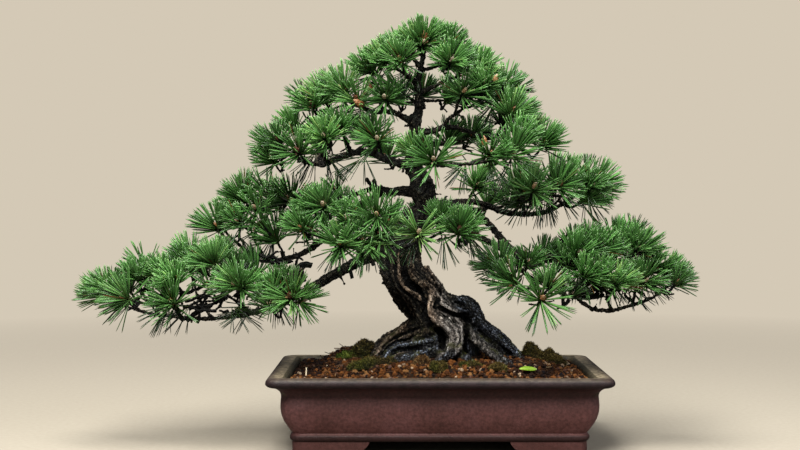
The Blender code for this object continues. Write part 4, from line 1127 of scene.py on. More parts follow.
# The colours of the stems, from the darkest to the brightest
MOSS_STOPS = (0.0, 0.45, 0.75, 1.0)
MOSS_SHADES = {
    "green": [(0.008, 0.009, 0.003), (0.045, 0.050, 0.008), (0.130, 0.140, 0.018), (0.26, 0.25, 0.060)],
    "brown": [(0.012, 0.009, 0.003), (0.075, 0.052, 0.012), (0.180, 0.125, 0.030), (0.32, 0.24, 0.09)],
    "fresh": [(0.014, 0.024, 0.003), (0.055, 0.092, 0.008), (0.130, 0.215, 0.018), (0.30, 0.40, 0.06)],
    "old": [(0.006, 0.005, 0.002), (0.030, 0.023, 0.007), (0.090, 0.062, 0.018), (0.22, 0.15, 0.060)],
    "rusty": [(0.020, 0.010, 0.004), (0.120, 0.058, 0.018), (0.300, 0.160, 0.055), (0.50, 0.34, 0.15)]}
# Patches of one colour: (middle, where it ends and where it is full in metres, how strong, colour)
MOSS_PATCHES = [((-101, -10, 92), 0.022, 0.010, 1.0, "fresh"), ((124, -4, 95), 0.034, 0.018, 0.85, "brown"),
                ((-36, -60, 88), 0.050, 0.026, 0.85, "old"), ((-80, -6, 108), 0.028, 0.014, 0.95, "old"),
                ((-18, -64, 94), 0.015, 0.010, 0.9, "rusty")]
ABOVE = 130  # rays straight down start from this height
SUNK = 1.5  # how deep the small cushions are sunk in the bed
LEFT_TALLER = 1.28  # the left cushion stands this much taller than in the frame
RIGHT_CREST = 0.088  # in metres: over this height the right cushion has a hump and a dip
LUMP = 1.7


def stem():
    """One moss shoot: a small three-sided spike."""
    bpy.ops.object.select_all(action="DESELECT")
    bpy.ops.mesh.primitive_cone_add(vertices=3, radius1=1.0, radius2=0.0, depth=1.0, location=(0, 0, 0.5))
    bpy.ops.object.transform_apply()
    return pattern_of(bpy.context.object)


def frames_along(directions, rng):
    """Axes whose third points along each direction, turned any way about it."""
    third = directions / np.linalg.norm(directions, axis=1)[:, None]
    other = rng.normal(size=third.shape)
    first = np.cross(third, other)
    first /= np.linalg.norm(first, axis=1)[:, None]
    return np.stack([first, np.cross(third, first), third], axis=2)


def small_cushion(name, half_x, half_y, x, y, tall):
    """A low dome on the bed, for the moss that the frame leaves out."""
    ground, _, _, _ = bed_surface.ray_cast(at(x, y, ABOVE), DOWN)
    bpy.ops.object.select_all(action="DESELECT")
    middle = Vector((ground.x, ground.y, ground.z - SUNK * MM))
    bpy.ops.mesh.primitive_ico_sphere_add(subdivisions=3, radius=1.0, location=middle)
    made = bpy.context.object
    made.name = name
    made.scale = (half_x * MM, half_y * MM, (tall + SUNK) * MM)
    bpy.ops.object.transform_apply()
    return made


rng = np.random.default_rng(5)
moss_green, tree, shader = new_material("moss")
tint = attribute(tree, "tint")
shades = {name: ramp(tree, tint, list(zip(MOSS_STOPS, rows))) for name, rows in MOSS_SHADES.items()}
leafy = blend(tree, between(tree, patch(tree, 60.0, 3.5), 0.35, 0.75), shades["green"], shades["brown"])
for spot, outer, inner, most, shade in MOSS_PATCHES:
    near = between(tree, distance_from(tree, at(*spot)), outer, inner, 0.0, most)
    leafy = blend(tree, near, leafy, shades[shade])
leafy = shaded(tree, leafy, between(tree, attribute(tree, "along"), 0.0, 1.0, 0.45, 1.3))
feed(tree, shader, Specular_IOR_Level=0.12, Base_Color=leafy, Normal=pitted(tree, 1600.0, 0.6, 0.0006),
     Roughness=varied(tree, 400.0, 2.0, 0.55, 0.9))
bodies = [(merged_copy(name + "_cushion", name), name) for name in moss_names]
bodies += [(small_cushion(name + "_cushion", *rows), None) for name, rows in SMALL_MOSS.items()]
for body, node in bodies:
    remesh(body, 1.0)
    modifier(body, "SMOOTH", factor=0.5, iterations=6)
    places, facing = skin_of(body)
    if node == "moss_left":
        bottom = places[:, 2].min()
        places[:, 2] = bottom + (places[:, 2] - bottom) * LEFT_TALLER
    if node == "moss_right":
        from_middle = (places[:, 0] - at(0, 0, 0).x) / MM
        high = np.maximum(0.0, places[:, 2] - RIGHT_CREST)
        places[:, 2] += high * (0.26 * np.exp(-(((from_middle - 101) / 9) ** 2))
                                - 0.40 * np.exp(-(((from_middle - 117) / 6) ** 2)))
    lump = 1.4 * lumpy(places, 9.0) + lumpy(places, 4.0) + 0.5 * lumpy(places, 2.0)
    lump *= np.maximum(0.0, facing[:, 2] + 0.4)
    set_skin(body, places + facing * (LUMP * MM * lump)[:, None])
    add_layer(body, "tint", np.clip(0.35 + 0.35 * lump, 0.0, 1.0))
    spots, facing = scattered(body, STEMS if node else STEMS // 2, rng, 0.0)
    lean = facing + rng.normal(0, 0.75, facing.shape) + (0, 0, 0.35)
    axes = frames_along(lean, rng)
    size = rng.uniform(0.6, 1.5, len(spots))
    axes *= np.stack([0.42 * size, 0.42 * size, 2.4 * size], axis=1)[:, None, :] * MM
    fur = laid_out("stems", [(stem(), spots - facing * 0.5 * MM, axes, np.zeros(len(spots)),
                              rng.random(len(spots)) ** 1.2)], False)
    body = joined(body, [fur])
    body.data.materials.clear()
    settle(body, moss_green, "moss", *([node] if node else []))

# The litter: old brown needles and bits of straw that lie about on the soil and the moss
LITTER = 620
LITTER_X, LITTER_Y = 150, 96
SPLINTER = ((-141.5, -88, 82.0), (0.03, 0.2, 1.0), (0.75, 8.5), 1.0)  # a white one that stands upright
straw, tree, shader = new_material("dry_needles")
dead = ramp(tree, attribute(tree, "tint"),
            [(0.0, (0.012, 0.008, 0.006)), (0.45, (0.045, 0.022, 0.012)), (0.75, (0.12, 0.060, 0.028)),
             (0.93, (0.26, 0.17, 0.085)), (1.0, (0.62, 0.52, 0.36))])
feed(tree, shader, Specular_IOR_Level=0.12, Base_Color=dead, Normal=pitted(tree, 1500.0, 0.3, 0.0003),
     Roughness=varied(tree, 300.0, 2.0, 0.5, 0.8))
bpy.ops.object.select_all(action="DESELECT")
bpy.ops.mesh.primitive_cylinder_add(vertices=3, radius=1.0, depth=1.0, location=(0, 0, 0.5))
bpy.ops.object.transform_apply()
straw_shape = pattern_of(bpy.context.object)
rows = []
while len(rows) < LITTER:
    x, y = rng.uniform(-LITTER_X, LITTER_X), rng.uniform(-LITTER_Y, LITTER_Y)
    # Most of it lies to the left of the trunk and in front of it, and by the leaf
    heap = math.exp(-((x + 112) ** 2 / 1500 + (y - 15) ** 2 / 2600))
    heap += math.exp(-((x - 100) ** 2 + (y + 40) ** 2) / 900)
    heap += 0.7 * math.exp(-((x + 80) ** 2 + (y + 20) ** 2) / 1100)
    if rng.random() > 0.10 + heap:
        continue
    ground, _, _, _ = bed_surface.ray_cast(at(x, y, ABOVE), DOWN)
    wood, _, _, _ = wood_surface.ray_cast(at(x, y, ABOVE), DOWN)
    if ground is None or (wood is not None and wood.z > ground.z):
        continue
    spot = ground + Vector((0, 0, rng.uniform(1.5, 3.4) * MM))
    way = (rng.normal(), rng.normal(), rng.normal(0, 0.09))
    rows.append((spot, way, (rng.uniform(0.35, 0.6), rng.uniform(4.0, 12.0)), rng.random() ** 1.3 * 0.97))
spot, way, size, tint = SPLINTER
rows.append((at(*spot), way, size, tint))
spots, ways, sizes, tints = (np.array(column) for column in zip(*rows))
axes = frames_along(ways, rng) * sizes[:, None, [0, 0, 1]] * MM
litter = laid_out("fallen_needles", [(straw_shape, spots, axes, np.zeros(len(spots)), tints)], False)
settle(litter, straw, "soil")


# ------------------------------------------------------------------------------------------------
# The fallen leaf: a small fresh green leaf on the soil at the front. It is tipped up at the back,
# pressed in a shallow trough along its middle vein, and has a thin edge.

TIP_BACK = math.radians(24)
LEAF_TURN = 0.2
LEAF_LENGTH, LEAF_HALF_WIDTH = 19.4, 4.5
LEAF_THICK = 0.28
LEAF_RAISED = 1.6
leaf_low, leaf_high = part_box("fallen_leaf")
leaf_middle = (leaf_low + leaf_high) / 2
bpy.ops.object.select_all(action="DESELECT")
bpy.ops.mesh.primitive_grid_add(x_subdivisions=24, y_subdivisions=12, size=1.0, location=(0, 0, 0))
leaf = bpy.context.object
leaf.name = "green_leaf"
places, _ = skin_of(leaf)
along, across = places[:, 0] + 0.5, places[:, 1] * 2
rounded = np.sin(np.pi * np.clip(0.03 + 0.97 * along, 0, 1)) ** 0.7
half = LEAF_HALF_WIDTH * rounded * (0.82 + 0.3 * along) + 0.1
curl = 0.5 * np.abs(across) ** 1.4 + 0.45 * np.sin(along * 5.0) + 0.12 * np.sin(along * 44) * np.abs(across)
set_skin(leaf, np.stack([(along - 0.5) * LEAF_LENGTH, across * half, curl], axis=1) * MM)
modifier(leaf, "SOLIDIFY", thickness=LEAF_THICK * MM, offset=0.0)
leaf.rotation_euler = (TIP_BACK, 0, LEAF_TURN)
leaf.location = leaf_middle + Vector((0, 0, LEAF_RAISED * MM))
bpy.context.view_layer.update()
smooth_skin(leaf, 60)
fresh, tree, shader = new_material("fresh_leaf")
place = put(tree, "Mapping", Vector=put(tree, "TexCoord").outputs["Object"], Location=-leaf_middle)
turned = put(tree, "Mapping", Vector=place.outputs[0], Rotation=(0.0, 0.0, -LEAF_TURN)).outputs[0]
across = number(tree, "ABSOLUTE", axis_of(tree, turned, "Y"), 0.0)
vein = between(tree, across, 0.0002, 0.0006, 0.6, 0.0)
green = ramp(tree, patch(tree, 160.0, 2.0), [(0.0, (0.125, 0.235, 0.012)), (0.6, (0.200, 0.340, 0.022)),
                                             (1.0, (0.300, 0.440, 0.050))])
feed(tree, shader, Base_Color=blend(tree, vein, green, (0.36, 0.48, 0.12, 1.0)),
     Roughness=varied(tree, 300.0, 2.0, 0.32, 0.5), Normal=pitted(tree, 1200.0, 0.25, 0.0004))
settle(leaf, fresh, "leaf", "fallen_leaf")


# ------------------------------------------------------------------------------------------------
# The shoots: where each tuft of needles grows, given from the middle of the pot as (x, y, z, face).
# Face is 0 for a shoot that grows up and out, and 1 for one that points to the front. A fifth value
# leans the shoot to the left or right.

FOLIAGE = {
    "low_left_tip": [(-363, -36, 170, 0.3, -1.5), (-340, -54, 162, 0.5, -1.2), (-334, -14, 184, 0.1, -0.3),
                     (-350, 16, 170, 0), (-372, -14, 162, 0.1, -1.6)],
    "low_left_outer": [(-288, -50, 180, 0.4), (-288, -58, 158, 0.6, -0.8), (-302, -8, 182, 0),
                       (-282, 20, 203, 0), (-312, -10, 187, 0.2), (-262, -10, 192, 0.2)],
    "low_left_middle": [(-219, -66, 177, 0.5, -1.1), (-208, -66, 176, 0.4, 0.5), (-248, -30, 200, 0.3),
                        (-226, -10, 190, 0), (-242, 18, 206, 0), (-208, 8, 186, 0)],
    "low_left_inner": [(-182, -52, 167, 0.6), (-158, -78, 164, 0.9), (-146, -72, 160, 0.75, 0.8),
                       (-166, 22, 170, 0), (-176, -10, 176, 0.2)],
    "second_left_tip": [(-252, 40, 238, 0.3), (-224, 8, 243, 0.6), (-236, 62, 252, 0)],
    "second_left_middle": [(-222, 38, 271, 0.2), (-205, 14, 258, 0.9), (-186, 64, 264, 0),
                           (-168, 30, 269, 0.4), (-184, 16, 226, 0.2), (-152, 20, 240, 0.3)],
    "second_left_inner": [(-136, 50, 264, 0.2), (-118, 88, 258, 0), (-106, 58, 258, 0)],
    "front_left": [(-146, -96, 238, 0.6), (-80, -104, 224, 0.9), (-136, -70, 262, 0.2),
                   (-122, -92, 262, 0.8), (-104, -112, 222, 0.8)],
    "front_middle": [(-98, -96, 248, 0.4), (-66, -112, 252, 0.9), (-80, -84, 250, 0.3),
                     (-62, -104, 232, 0.8)],
    "front_right": [(-22, -104, 233, 0.8), (20, -100, 236, 0.7), (0, -76, 248, 0.2), (25, -80, 238, 0.2)],
    "third_left_tip": [(-178, -26, 327, 0.3), (-182, -34, 313, 0.4), (-152, -50, 320, 0.8),
                       (-163, 2, 350, 0.1)],
    "third_left_middle": [(-124, -50, 336, 0.6), (-108, -34, 346, 0.6), (-126, 24, 346, 0)],
    "third_left_inner": [(-66, -54, 333, 0.8), (-76, -20, 344, 0.3), (-78, 28, 342, 0)],
    "fourth_left_outer": [(-128, 4, 382, 0.3), (-106, -12, 390, 0.5), (-110, 30, 386, 0),
                          (-140, -6, 374, 0.3)],
    "fourth_left_inner": [(-89, -18, 378, 0.8), (-73, 14, 414, 0.3), (-58, -24, 380, 0.8)],
    "crown_left": [(-60, -8, 424, 0.4), (-80, 0, 416, 0.2), (-44, 20, 438, 0), (-42, -30, 422, 0.7)],
    "crown_top": [(-12, -2, 447, 0.1), (-17, -14, 441, 0.8), (-28, -2, 444, 0.1), (13, 0, 444, 0.1)],
    "crown_right": [(15, -6, 424, 0.5), (30, 16, 418, 0.2), (14, -30, 420, 0.7), (49, 0, 417, 0.2)],
    "upper_right_top": [(46, 2, 408, 0.3), (52, -14, 397, 0.5), (60, 28, 386, 0)],
    "upper_right_tip": [(78, 6, 372, 0.2), (82, -22, 365, 0.5), (77, 38, 360, 0), (103, -8, 346, 0.2)],
    "upper_right_inner": [(28, -18, 386, 0.8), (44, 4, 388, 0.2)],
    "front_upper_left": [(-6, -86, 310, 0.9), (-26, -70, 320, 0.4)],
    "front_upper_right": [(54, -84, 317, 0.7), (78, -76, 316, 0.9), (88, -52, 334, 0.3),
                          (116, -26, 330, 0.4)],
    "middle_right_inner": [(42, -34, 284, 0.5), (94, -18, 276, 0.4), (104, -42, 280, 0.8),
                           (96, 30, 288, 0)],
    "middle_right_outer": [(132, -34, 284, 0.8), (134, 28, 292, 0), (150, -2, 288, 0.2)],
    "middle_right_tip": [(178, -4, 284, 0.1, 1.2), (168, -26, 284, 0.4), (164, -16, 268, 0.1, 1.5)],
    "low_right_inner": [(64, -50, 198, 0.2, -0.5), (77, -60, 179, 0.15, -1.5), (97, -50, 200, 0.2, 0)],
    "low_right_hanging": [(108, -88, 163, 1.0), (120, -66, 178, 0.4)],
    "low_right_middle": [(150, -54, 210, 0.3), (176, -50, 215, 0.6), (156, -2, 218, 0), (120, -10, 205, 0),
                         (140, -30, 203, 0.1), (143, -44, 196, 0.3), (186, -34, 204, 0.3)],
    "low_right_outer": [(203, -20, 219, 0.2), (219, -36, 214, 0.4), (204, 16, 217, 0)],
    "low_right_lower": [(160, -58, 187, 0.4), (176, -60, 184, 0.3), (192, -64, 180, 0.4)],
    "low_right_tip": [(238, -30, 194, 0.2), (254, -24, 186, 0.2, 1.4), (230, 10, 200, 0),
                      (224, -52, 180, 0.5, 0.4), (264, -22, 178, 0.1, 1.7)],
    "back_low": [(14, 124, 244, 0), (-48, 126, 240, 0), (-14, 94, 244, 0)],
    "back_right": [(88, 84, 266, 0), (62, 82, 266, 0)],
    "back_middle": [(-20, 90, 322, 0), (-58, 72, 320, 0)],
    "back_upper": [(42, 64, 342, 0), (16, 68, 338, 0)],
    "back_high": [(-16, 44, 392, 0), (14, 48, 386, 0), (-46, 40, 384, 0)],
}
SHOOT = 15.0  # the leafy end of a shoot
FILL_GAP = 24.0  # the filling shoots stand at least this far from all others
FILL_DEPTH = 11.0  # and this deep inside the foliage
FILL_BELOW = 17.0  # with this much foliage above them
OVERHANG = 5.0  # the needles reach this far out of the frame's foliage
TRUNK_AXIS = (-22.0, 0.0)
# Round these places the frame's foliage stands out too far and gets no filling: (x, z, radius)
NO_FILLING = [(118, 374, 26), (-202, 338, 18), (-168, 398, 16), (30, 455, 14)]
FILL_TRIES = 420
LONGEST = 38.0  # the longest needles
USUAL = 34.0  # and their length where nothing tells how far they may reach


def reach_of(skin, tip, way, shortest):
    """How long the needles of a brush are, so that they end just outside the frame's foliage."""
    ahead = skin.ray_cast(at(*tip), Vector(way))[3]
    return USUAL if ahead is None else max(shortest, min(LONGEST, ahead / MM + OVERHANG))


rng = np.random.default_rng(77)
origin = np.array(at(0, 0, 0))
shoots = {}
for name, given in FOLIAGE.items():
    node = "foliage_" + name
    skin = surface_of(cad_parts[node])
    low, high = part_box(node)
    tips = [(np.array(row[:3], float), row[3], row[4] if len(row) > 4 else None, "given") for row in given]
    for _ in range(FILL_TRIES):
        spot = rng.uniform(low, high)
        near, facing, _, depth = skin.find_nearest(Vector(spot))
        if (Vector(spot) - near).dot(facing) > 0 or depth < FILL_DEPTH * MM:
            continue
        over = skin.ray_cast(Vector(spot), Vector((0, 0, 1)))[3]
        if over is None or over < FILL_BELOW * MM:
            continue
        spot = (spot - origin) / MM
        if any(math.hypot(spot[0] - x, spot[2] - z) < radius for x, z, radius in NO_FILLING):
            continue
        if min(np.linalg.norm(spot - tip) for tip, *_ in tips) > FILL_GAP:
            tips.append((spot, 0.0, None, "filling"))
    rows = []
    for tip, face, lean, kind in tips:
        out = tip[:2] - TRUNK_AXIS
        out /= max(1.0, np.linalg.norm(out))
        grow = np.array([out[0] * 0.6, out[1] * 0.45 - 0.1, 0.8]) * (1 - 0.75 * face)
        grow += np.array([0.05 * out[0], -1.0, 0.34]) * face + rng.normal(0, 0.10, 3)
        if lean is not None:
            grow[0] += lean - out[0] * 0.6
        grow /= np.linalg.norm(grow)
        first = np.cross(grow, rng.normal(size=3))
        first /= np.linalg.norm(first)
        second = np.cross(grow, first)
        brushes = []
        for i in range(2 if kind == "given" and face < 0.75 else 0):
            turn = math.pi * (i + rng.uniform(0.1, 0.9))
            way = grow + (math.cos(turn) * first + math.sin(turn) * second) * rng.uniform(0.35, 0.80)
            way /= np.linalg.norm(way)
            if way[2] < -0.12:
                way[2] *= -0.6
            brushes.append((tip + (way - grow) * SHOOT * 0.4, way, reach_of(skin, tip, way, 25.0)))
        reach = reach_of(skin, tip, grow, max(29.0 if kind == "given" else 25.0, 44.0 * face))
        rows.append((tip, grow, face, reach, brushes, kind))
    shoots[node] = rows


# ------------------------------------------------------------------------------------------------
# The twigs: thin rough stems that carry the shoots from the branches, dark as the bark and knobbly
# where old needles fell. They fork and bend on the way, and many short dead ends stand on them.

# Where bare twigs cross each other below the foliage: (low corner, high corner, how many)
TANGLES = [((134, -56, 160), (200, -30, 180), 30), ((-226, -50, 138), (-200, -30, 156), 9),
           ((-280, -52, 146), (-228, -30, 172), 20), ((-204, -10, 192), (-150, 10, 212), 10),
           ((10, -20, 372), (60, 10, 392), 8), ((112, -20, 216), (150, 0, 232), 7)]
LONGEST_TANGLED = 0.026  # in metres
# Dead branches and the stump on the lowest branch: (x, y, z, radius)
DEAD = [[(-257, -38, 151, 2.8), (-266, -40, 144, 3.0), (-275, -42, 136, 2.6)],
        [(-262, -40, 148, 2.2), (-259, -42, 141, 2.4), (-263, -42, 134, 2.2)],
        [(-152, -12, 176, 7), (-155, -11, 186, 6.6), (-153, -10, 194, 5), (-146, -11, 197, 3.6),
         (-140, -12, 195, 3.4)],
        [(-98, -12, 197, 2.4), (-97, -13, 189, 3.2), (-95, -13, 181, 2.4)],
        [(-76, -8, 206, 2.4), (-73, -9, 200, 3.2), (-71, -9, 195, 2.2)],
        [(-66, 6, 278, 3.6), (-74, 4, 286, 3.0), (-70, 2, 290, 3.2)]]
ON_THE_BRANCH = 0.004  # a shoot this near a branch, in metres, sits on it
KNOBS_OUT = 0.62


def crooked(start, end, thick_start, thick_end, bends, sag, rng):
    """A twig that wanders from one place to another in a few short bends."""
    rod = []
    way = end - start
    for step in range(bends + 1):
        share = step / bends
        stray = Vector(rng.normal(0, 0.075, 3)) * way.length * math.sin(math.pi * share)
        stray.z -= sag * way.length * math.sin(math.pi * share)
        rod.append((start + way * share + stray, (thick_start + (thick_end - thick_start) * share) * MM))
    return rod


spars = surface_of(branches)
rods = []
for rows in shoots.values():
    for tip, grow, _, _, brushes, _ in rows:
        rng = np.random.default_rng(abs(tip * 10).astype(int))
        top = at(*(tip - grow * 1.0))
        foot = at(*(tip - grow * (SHOOT + 3.0)))
        for end, way, _ in brushes:
            rods.append([(top * 0.25 + foot * 0.75, 1.3 * MM), (at(*(end - way * SHOOT * 0.5)), 1.2 * MM),
                         (at(*end), 1.0 * MM)])
        root, _, _, gap = spars.find_nearest(foot)
        if gap < ON_THE_BRANCH:
            rods.append([(root, 1.9 * MM), ((root + top) * 0.5, 1.7 * MM), (top, 1.4 * MM)])
            continue
        bends = max(3, min(7, int(gap / 0.007)))
        main = crooked(root, foot, 2.3 if gap > 0.02 else 1.9, 1.5, bends, 0.14, rng)
        rods.append(main + [(foot * 0.5 + top * 0.5, 1.45 * MM), (top, 1.3 * MM)])
        for _ in range(int(rng.integers(1, 4))):
            place, thick = main[int(rng.integers(1, len(main)))]
            aim = Vector(rng.normal(0, 1.0, 3)) + Vector((grow[0], grow[1], 0.1))
            tail = place + aim.normalized() * rng.uniform(7.0, 17.0) * MM
            rods.append(crooked(place, tail, thick / MM * 0.75, 0.9, 3, 0.05, rng))
rng = np.random.default_rng(30)
for low, high, count in TANGLES:
    for _ in range(count):
        start, end = at(*rng.uniform(low, high)), at(*rng.uniform(low, high))
        end = start + (end - start) * min(1.0, LONGEST_TANGLED / (end - start).length)
        rods.append(crooked(start, end, 1.9, 1.1, 4, 0.1, rng))
rods += [in_place(rod) for rod in DEAD]
twigs = bent_rods("twigs", rods, 0)
places, facing = skin_of(twigs)
knobbly = lumpy(places, 2.4) + 0.7 * lumpy(places, 1.1)
set_skin(twigs, places + facing * (KNOBS_OUT * MM * knobbly)[:, None])
add_layer(twigs, "relief", 0.36 + 0.5 * lumpy(places, 1.7))
smooth_skin(twigs, 70)
settle(twigs, bark, "bark")


# ------------------------------------------------------------------------------------------------
# The needles: stiff, bright and shining, in pairs from one sheath, set in a spiral round the leafy
# end of each shoot. They stand in a brush round the bud, and the oldest hang dark below the twigs.

FAN_PAIRS = 46
FILLING_PAIRS = 22
BRUSH_PAIRS = 12
FLATTER = 0.5  # how much the tufts are spread sideways rather than to the front
NEEDLE_RADIUS = 0.76
GOLDEN = math.radians(137.5)
# Bunches of old needles that hang below the branches: (x, y, z, how far left or right they lean)
HANGING = [(-346, -46, 156, -1.1), (-300, -50, 146, -0.6), (-280, -50, 146, -1.2),
           (-214, -52, 147, -1.3), (-212, -56, 147, 1.4), (-176, -30, 152, 0.3), (-240, 10, 196, -0.5),
           (-218, 20, 216, 0.3), (-190, 24, 220, -0.4), (-148, 36, 238, 0.4), (-90, -40, 308, -0.9),
           (-142, -10, 312, -0.6), (-118, -20, 310, 0.5),
           (6, -96, 221, 0.2), (-30, -84, 222, -0.6), (34, -70, 226, 0.5), (-110, -90, 214, -0.3),
           (-70, -84, 216, 0.4), (112, -20, 262, -0.3), (140, -10, 268, 0.7), (170, -10, 266, 0.4),
           (122, -14, 264, 0.1), (88, -30, 262, -0.8),
           (88, -50, 182, -0.7), (150, -50, 182, -0.3), (188, -44, 176, 0.3),
           (214, -36, 168, 0.8), (236, -24, 176, 1.0), (60, -40, 300, 0.2), (24, -60, 300, -0.4),
           (94, 10, 352, 0.5), (60, 0, 370, -0.4), (-92, 0, 362, -0.7), (-30, 0, 408, -0.5)]


def drawn_up(sides, radius, steps, turned=0.0):
    """A closed shape, a unit long: a flat base drawn up step by step, each (rise, how much wider) and
    turned by this angle, to a point."""
    bpy.ops.object.select_all(action="DESELECT")
    bpy.ops.mesh.primitive_circle_add(vertices=sides, radius=radius, fill_type="NGON", location=(0, 0, 0))
    bpy.ops.object.mode_set(mode="EDIT")
    for rise, width in steps:
        bpy.ops.mesh.extrude_region_move(TRANSFORM_OT_translate={"value": (0, 0, rise)})
        bpy.ops.transform.resize(value=(width, width, 1.0), center_override=(0, 0, 0))
        if turned:
            bpy.ops.transform.rotate(value=turned, orient_axis="Z", center_override=(0, 0, 0))
    bpy.ops.mesh.merge(type="CENTER")
    bpy.ops.mesh.select_all(action="SELECT")
    bpy.ops.mesh.normals_make_consistent(inside=False)
    bpy.ops.object.mode_set(mode="OBJECT")
    return pattern_of(bpy.context.object)


# Three-sided, and as wide nearly to the end
needle = drawn_up(3, 0.85, [(0.5, 1.18), (0.4, 0.82), (0.1, 0.02)])


def tuft(tip, grow, pairs, narrowest, widest, length, falling, spread, rng):
    """Where the needles of one shoot start, which way they go, how long they are and how much darker
    the old ones are, from the bud down. They lean out between these two angles, this share of those
    that would point down is kept, and they start along this much of the shoot."""
    count = np.arange(pairs) + rng.random(pairs)
    share = count / pairs
    first = np.cross(grow, rng.normal(size=3))
    first /= np.linalg.norm(first)
    second = np.cross(grow, first)
    turn = count * GOLDEN
    side = np.cos(turn)[:, None] * first + np.sin(turn)[:, None] * second
    lean = narrowest + (widest - narrowest) * share**0.8 + rng.normal(0, 4.0, pairs)
    older = share > 0.8
    lean[older] += rng.uniform(4.0, 34.0, older.sum())
    polar = np.radians(lean)
    way = grow * np.cos(polar)[:, None] + side * np.sin(polar)[:, None]
    way[:, 1] = (way[:, 1] - grow[1]) * FLATTER + grow[1]
    way /= np.linalg.norm(way, axis=1)[:, None]
    kept = (way[:, 2] > -0.10) | (rng.random(pairs) < falling)
    share, side, way, older = share[kept], side[kept], way[kept], older[kept]
    pairs = len(way)
    start = tip - grow * (1.0 + spread * share)[:, None] + side * 1.2
    apart = np.cross(way, rng.normal(size=(pairs, 3)))
    apart /= np.linalg.norm(apart, axis=1)[:, None]
    apart *= np.tan(np.radians(rng.uniform(0.8, 3.2, pairs)))[:, None]
    ways = np.concatenate([way + apart, way - apart])
    ways[:, 2] -= 0.04
    ways /= np.linalg.norm(ways, axis=1)[:, None]
    long = length * rng.uniform(0.88, 1.08, pairs) * (0.90 + 0.10 * np.sin(np.pi * share))
    tone = np.where(older, rng.uniform(-0.35, 0.0, pairs), 0.0)
    return (np.concatenate([start, start]), ways,
            np.concatenate([long, long * rng.uniform(0.95, 1.0, pairs)]), np.concatenate([tone, tone]))


needle_green, tree, shader = new_material("pine_needles")
tint, along = attribute(tree, "tint"), attribute(tree, "along")
green = ramp(tree, tint, [(0.0, (0.16, 0.075, 0.020)), (0.02, (0.17, 0.11, 0.026)),
                          (0.03, (0.010, 0.022, 0.007)), (0.20, (0.020, 0.052, 0.010)),
                          (0.42, (0.052, 0.150, 0.030)), (0.66, (0.090, 0.240, 0.052)),
                          (0.84, (0.150, 0.330, 0.090)), (1.0, (0.250, 0.410, 0.110))])
# The sheath at the foot is brown and the point is yellowed
green = blend(tree, between(tree, along, 0.12, 0.02, 0.0, 0.75), green, (0.105, 0.115, 0.035, 1.0))
green = blend(tree, between(tree, along, 0.92, 1.0, 0.0, 0.35), green, (0.13, 0.14, 0.030, 1.0))
green = shaded(tree, green, varied(tree, 22.0, 3.0, 0.74, 1.26))
feed(tree, shader, Base_Color=green, Coat_Weight=0.25, Coat_Roughness=0.3,
     Roughness=between(tree, tint, 0.0, 1.0, 0.28, 0.40))

rng = np.random.default_rng(31)
lay = {}
for node, rows in shoots.items():
    lay[node] = [], [], [], []
    for tip, grow, face, reach, brushes, kind in rows:
        # The filling shoots, deep inside the foliage, get darker needles than the given ones: painted shade
        shade = (0.62 if kind == "given" else 0.38) + 0.10 * rng.normal()
        full = FAN_PAIRS if kind == "given" else FILLING_PAIRS
        parts = [(tuft(tip, grow, full + int(rng.integers(-6, 7)), 5.0 + 20.0 * face, 68.0 + 18.0 * face,
                       reach, 0.12 + 0.88 * face * face, 6.0, rng), shade)]
        parts += [(tuft(end, way, BRUSH_PAIRS, 1.0, 20.0, longest, 1.0, 10.0, rng),
                   shade + 0.10 * rng.normal()) for end, way, longest in brushes]
        for (start, way, long, tone), level in parts:
            tone = np.clip(tone + rng.normal(level, 0.12, len(start)), 0.035, 1.0)
            tone[rng.random(len(start)) < 0.010] = 0.0
            for column, values in zip(lay[node], (start, way, long, tone)):
                column.append(values)
for x, y, z, lean in HANGING:
    tip = np.array((x, y, z), float)
    grow = np.array([lean, -0.35, -0.75]) / math.sqrt(lean * lean + 0.685)
    node = min(shoots, key=lambda name: min(np.linalg.norm(row[0] - tip) for row in shoots[name]))
    start, way, long, _ = tuft(tip, grow, 10, 6.0, 42.0, USUAL, 1.0, 12.0, rng)
    for column, values in zip(lay[node], (start, way, long, rng.uniform(0.04, 0.26, len(start)))):
        column.append(values)
for node, columns in lay.items():
    starts, ways, longs, tints = (np.concatenate(column) for column in columns)
    axes = frames_along(ways, rng)
    radius = NEEDLE_RADIUS * rng.uniform(0.88, 1.12, len(longs)) * np.where(tints < 0.28, 0.72, 1.0)
    axes *= np.stack([radius, radius, longs], axis=1)[:, None, :] * MM
    bends = rng.normal(0, 2.0, len(longs)) / radius
    made = laid_out(node.replace("foliage_", "needles_"),
                    [(needle, starts * MM + origin, axes, bends, tints)], True)
    settle(made, needle_green, "needles", node)


# ------------------------------------------------------------------------------------------------
# The buds: a fat pointed winter bud on every shoot with smaller ones crowded beside it, wrapped in
# papery scales that run from red-brown and orange to tan and white with resin.

# Large papery scales that stand loose in the crown: (x, y, z, way, size, tint)
LOOSE = [(-82, -30, 371, (-0.8, -0.2, 0.5), 1.7, 0.46), (49, -70, 326, (-0.15, -0.1, 1.0), 1.4, 0.50),
         (62, -24, 398, (0.3, -0.3, 0.9), 1.2, 0.72), (-74, -22, 388, (-0.1, -0.3, 1.0), 1.1, 0.35),
         (-14, -16, 444, (-0.1, -0.2, 1.0), 1.5, 0.42)]
BUD_RADIUS, BUD_LENGTH = 2.7, 8.0
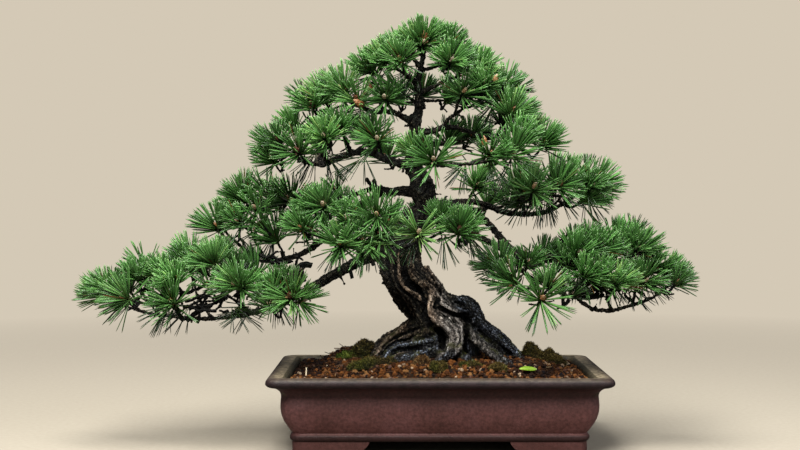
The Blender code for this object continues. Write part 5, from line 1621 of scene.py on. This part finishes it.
# The scales are steps round it
BUD_STEPS = [(0.16, 1.75), (0.06, 0.92), (0.2, 1.04), (0.06, 0.86), (0.2, 0.92), (0.06, 0.76), (0.16, 0.6),
             (0.10, 0.1)]

rng = np.random.default_rng(32)
rows = [((x, y, z), way, size, tint) for x, y, z, way, size, tint in LOOSE]
for grown in shoots.values():
    for tip, grow, face, _, brushes, kind in grown:
        hue = rng.random() ** 0.8
        main = rng.uniform(0.7, 1.0) * (1.25 if face > 0.75 else 1.0) * (1.0 if kind == "given" else 0.7)
        rows.append((tip + grow * (3.0 * face - 1.0), grow, main, hue))
        beside = [(end - way, way) for end, way, _ in brushes]
        for _ in range(int(rng.integers(0, 3))):
            beside.append((tip + rng.normal(0, 1.8, 3), grow + rng.normal(0, 0.5, 3)))
        for spot, way in beside:
            size = main * rng.uniform(0.5, 0.8)
            rows.append((spot, way, size, min(1.0, max(0.0, hue + rng.normal(0, 0.12)))))
spots, ways, sizes, tints = (np.array(column, float) for column in zip(*rows))
axes = frames_along(ways, rng)
axes *= (sizes[:, None] * (BUD_RADIUS, BUD_RADIUS, BUD_LENGTH))[:, None, :] * MM
bud = drawn_up(6, 0.55, BUD_STEPS, math.radians(25))
buds = laid_out("winter_buds", [(bud, spots * MM + origin, axes, np.zeros(len(spots)), tints)], False)
bud_skin, tree, shader = new_material("winter_buds")
tint = attribute(tree, "tint")
scale = ramp(tree, tint, [(0.0, (0.070, 0.022, 0.010)), (0.25, (0.16, 0.052, 0.018)),
                          (0.5, (0.32, 0.125, 0.036)), (0.75, (0.38, 0.21, 0.085)),
                          (1.0, (0.46, 0.36, 0.23))])
resin = product(tree, between(tree, attribute(tree, "along"), 0.60, 1.0), between(tree, tint, 0.35, 0.9))
scale = shaded(tree, blend(tree, resin, scale, (0.52, 0.45, 0.35, 1.0)), varied(tree, 900.0, 3.0, 0.6, 1.2))
feed(tree, shader, Base_Color=scale, Normal=pitted(tree, 2200.0, 0.4, 0.0003),
     Roughness=varied(tree, 700.0, 2.0, 0.45, 0.7))
settle(buds, bud_skin, "bark")


# ------------------------------------------------------------------------------------------------
# The sizes: the finished plant's box.

low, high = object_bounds()
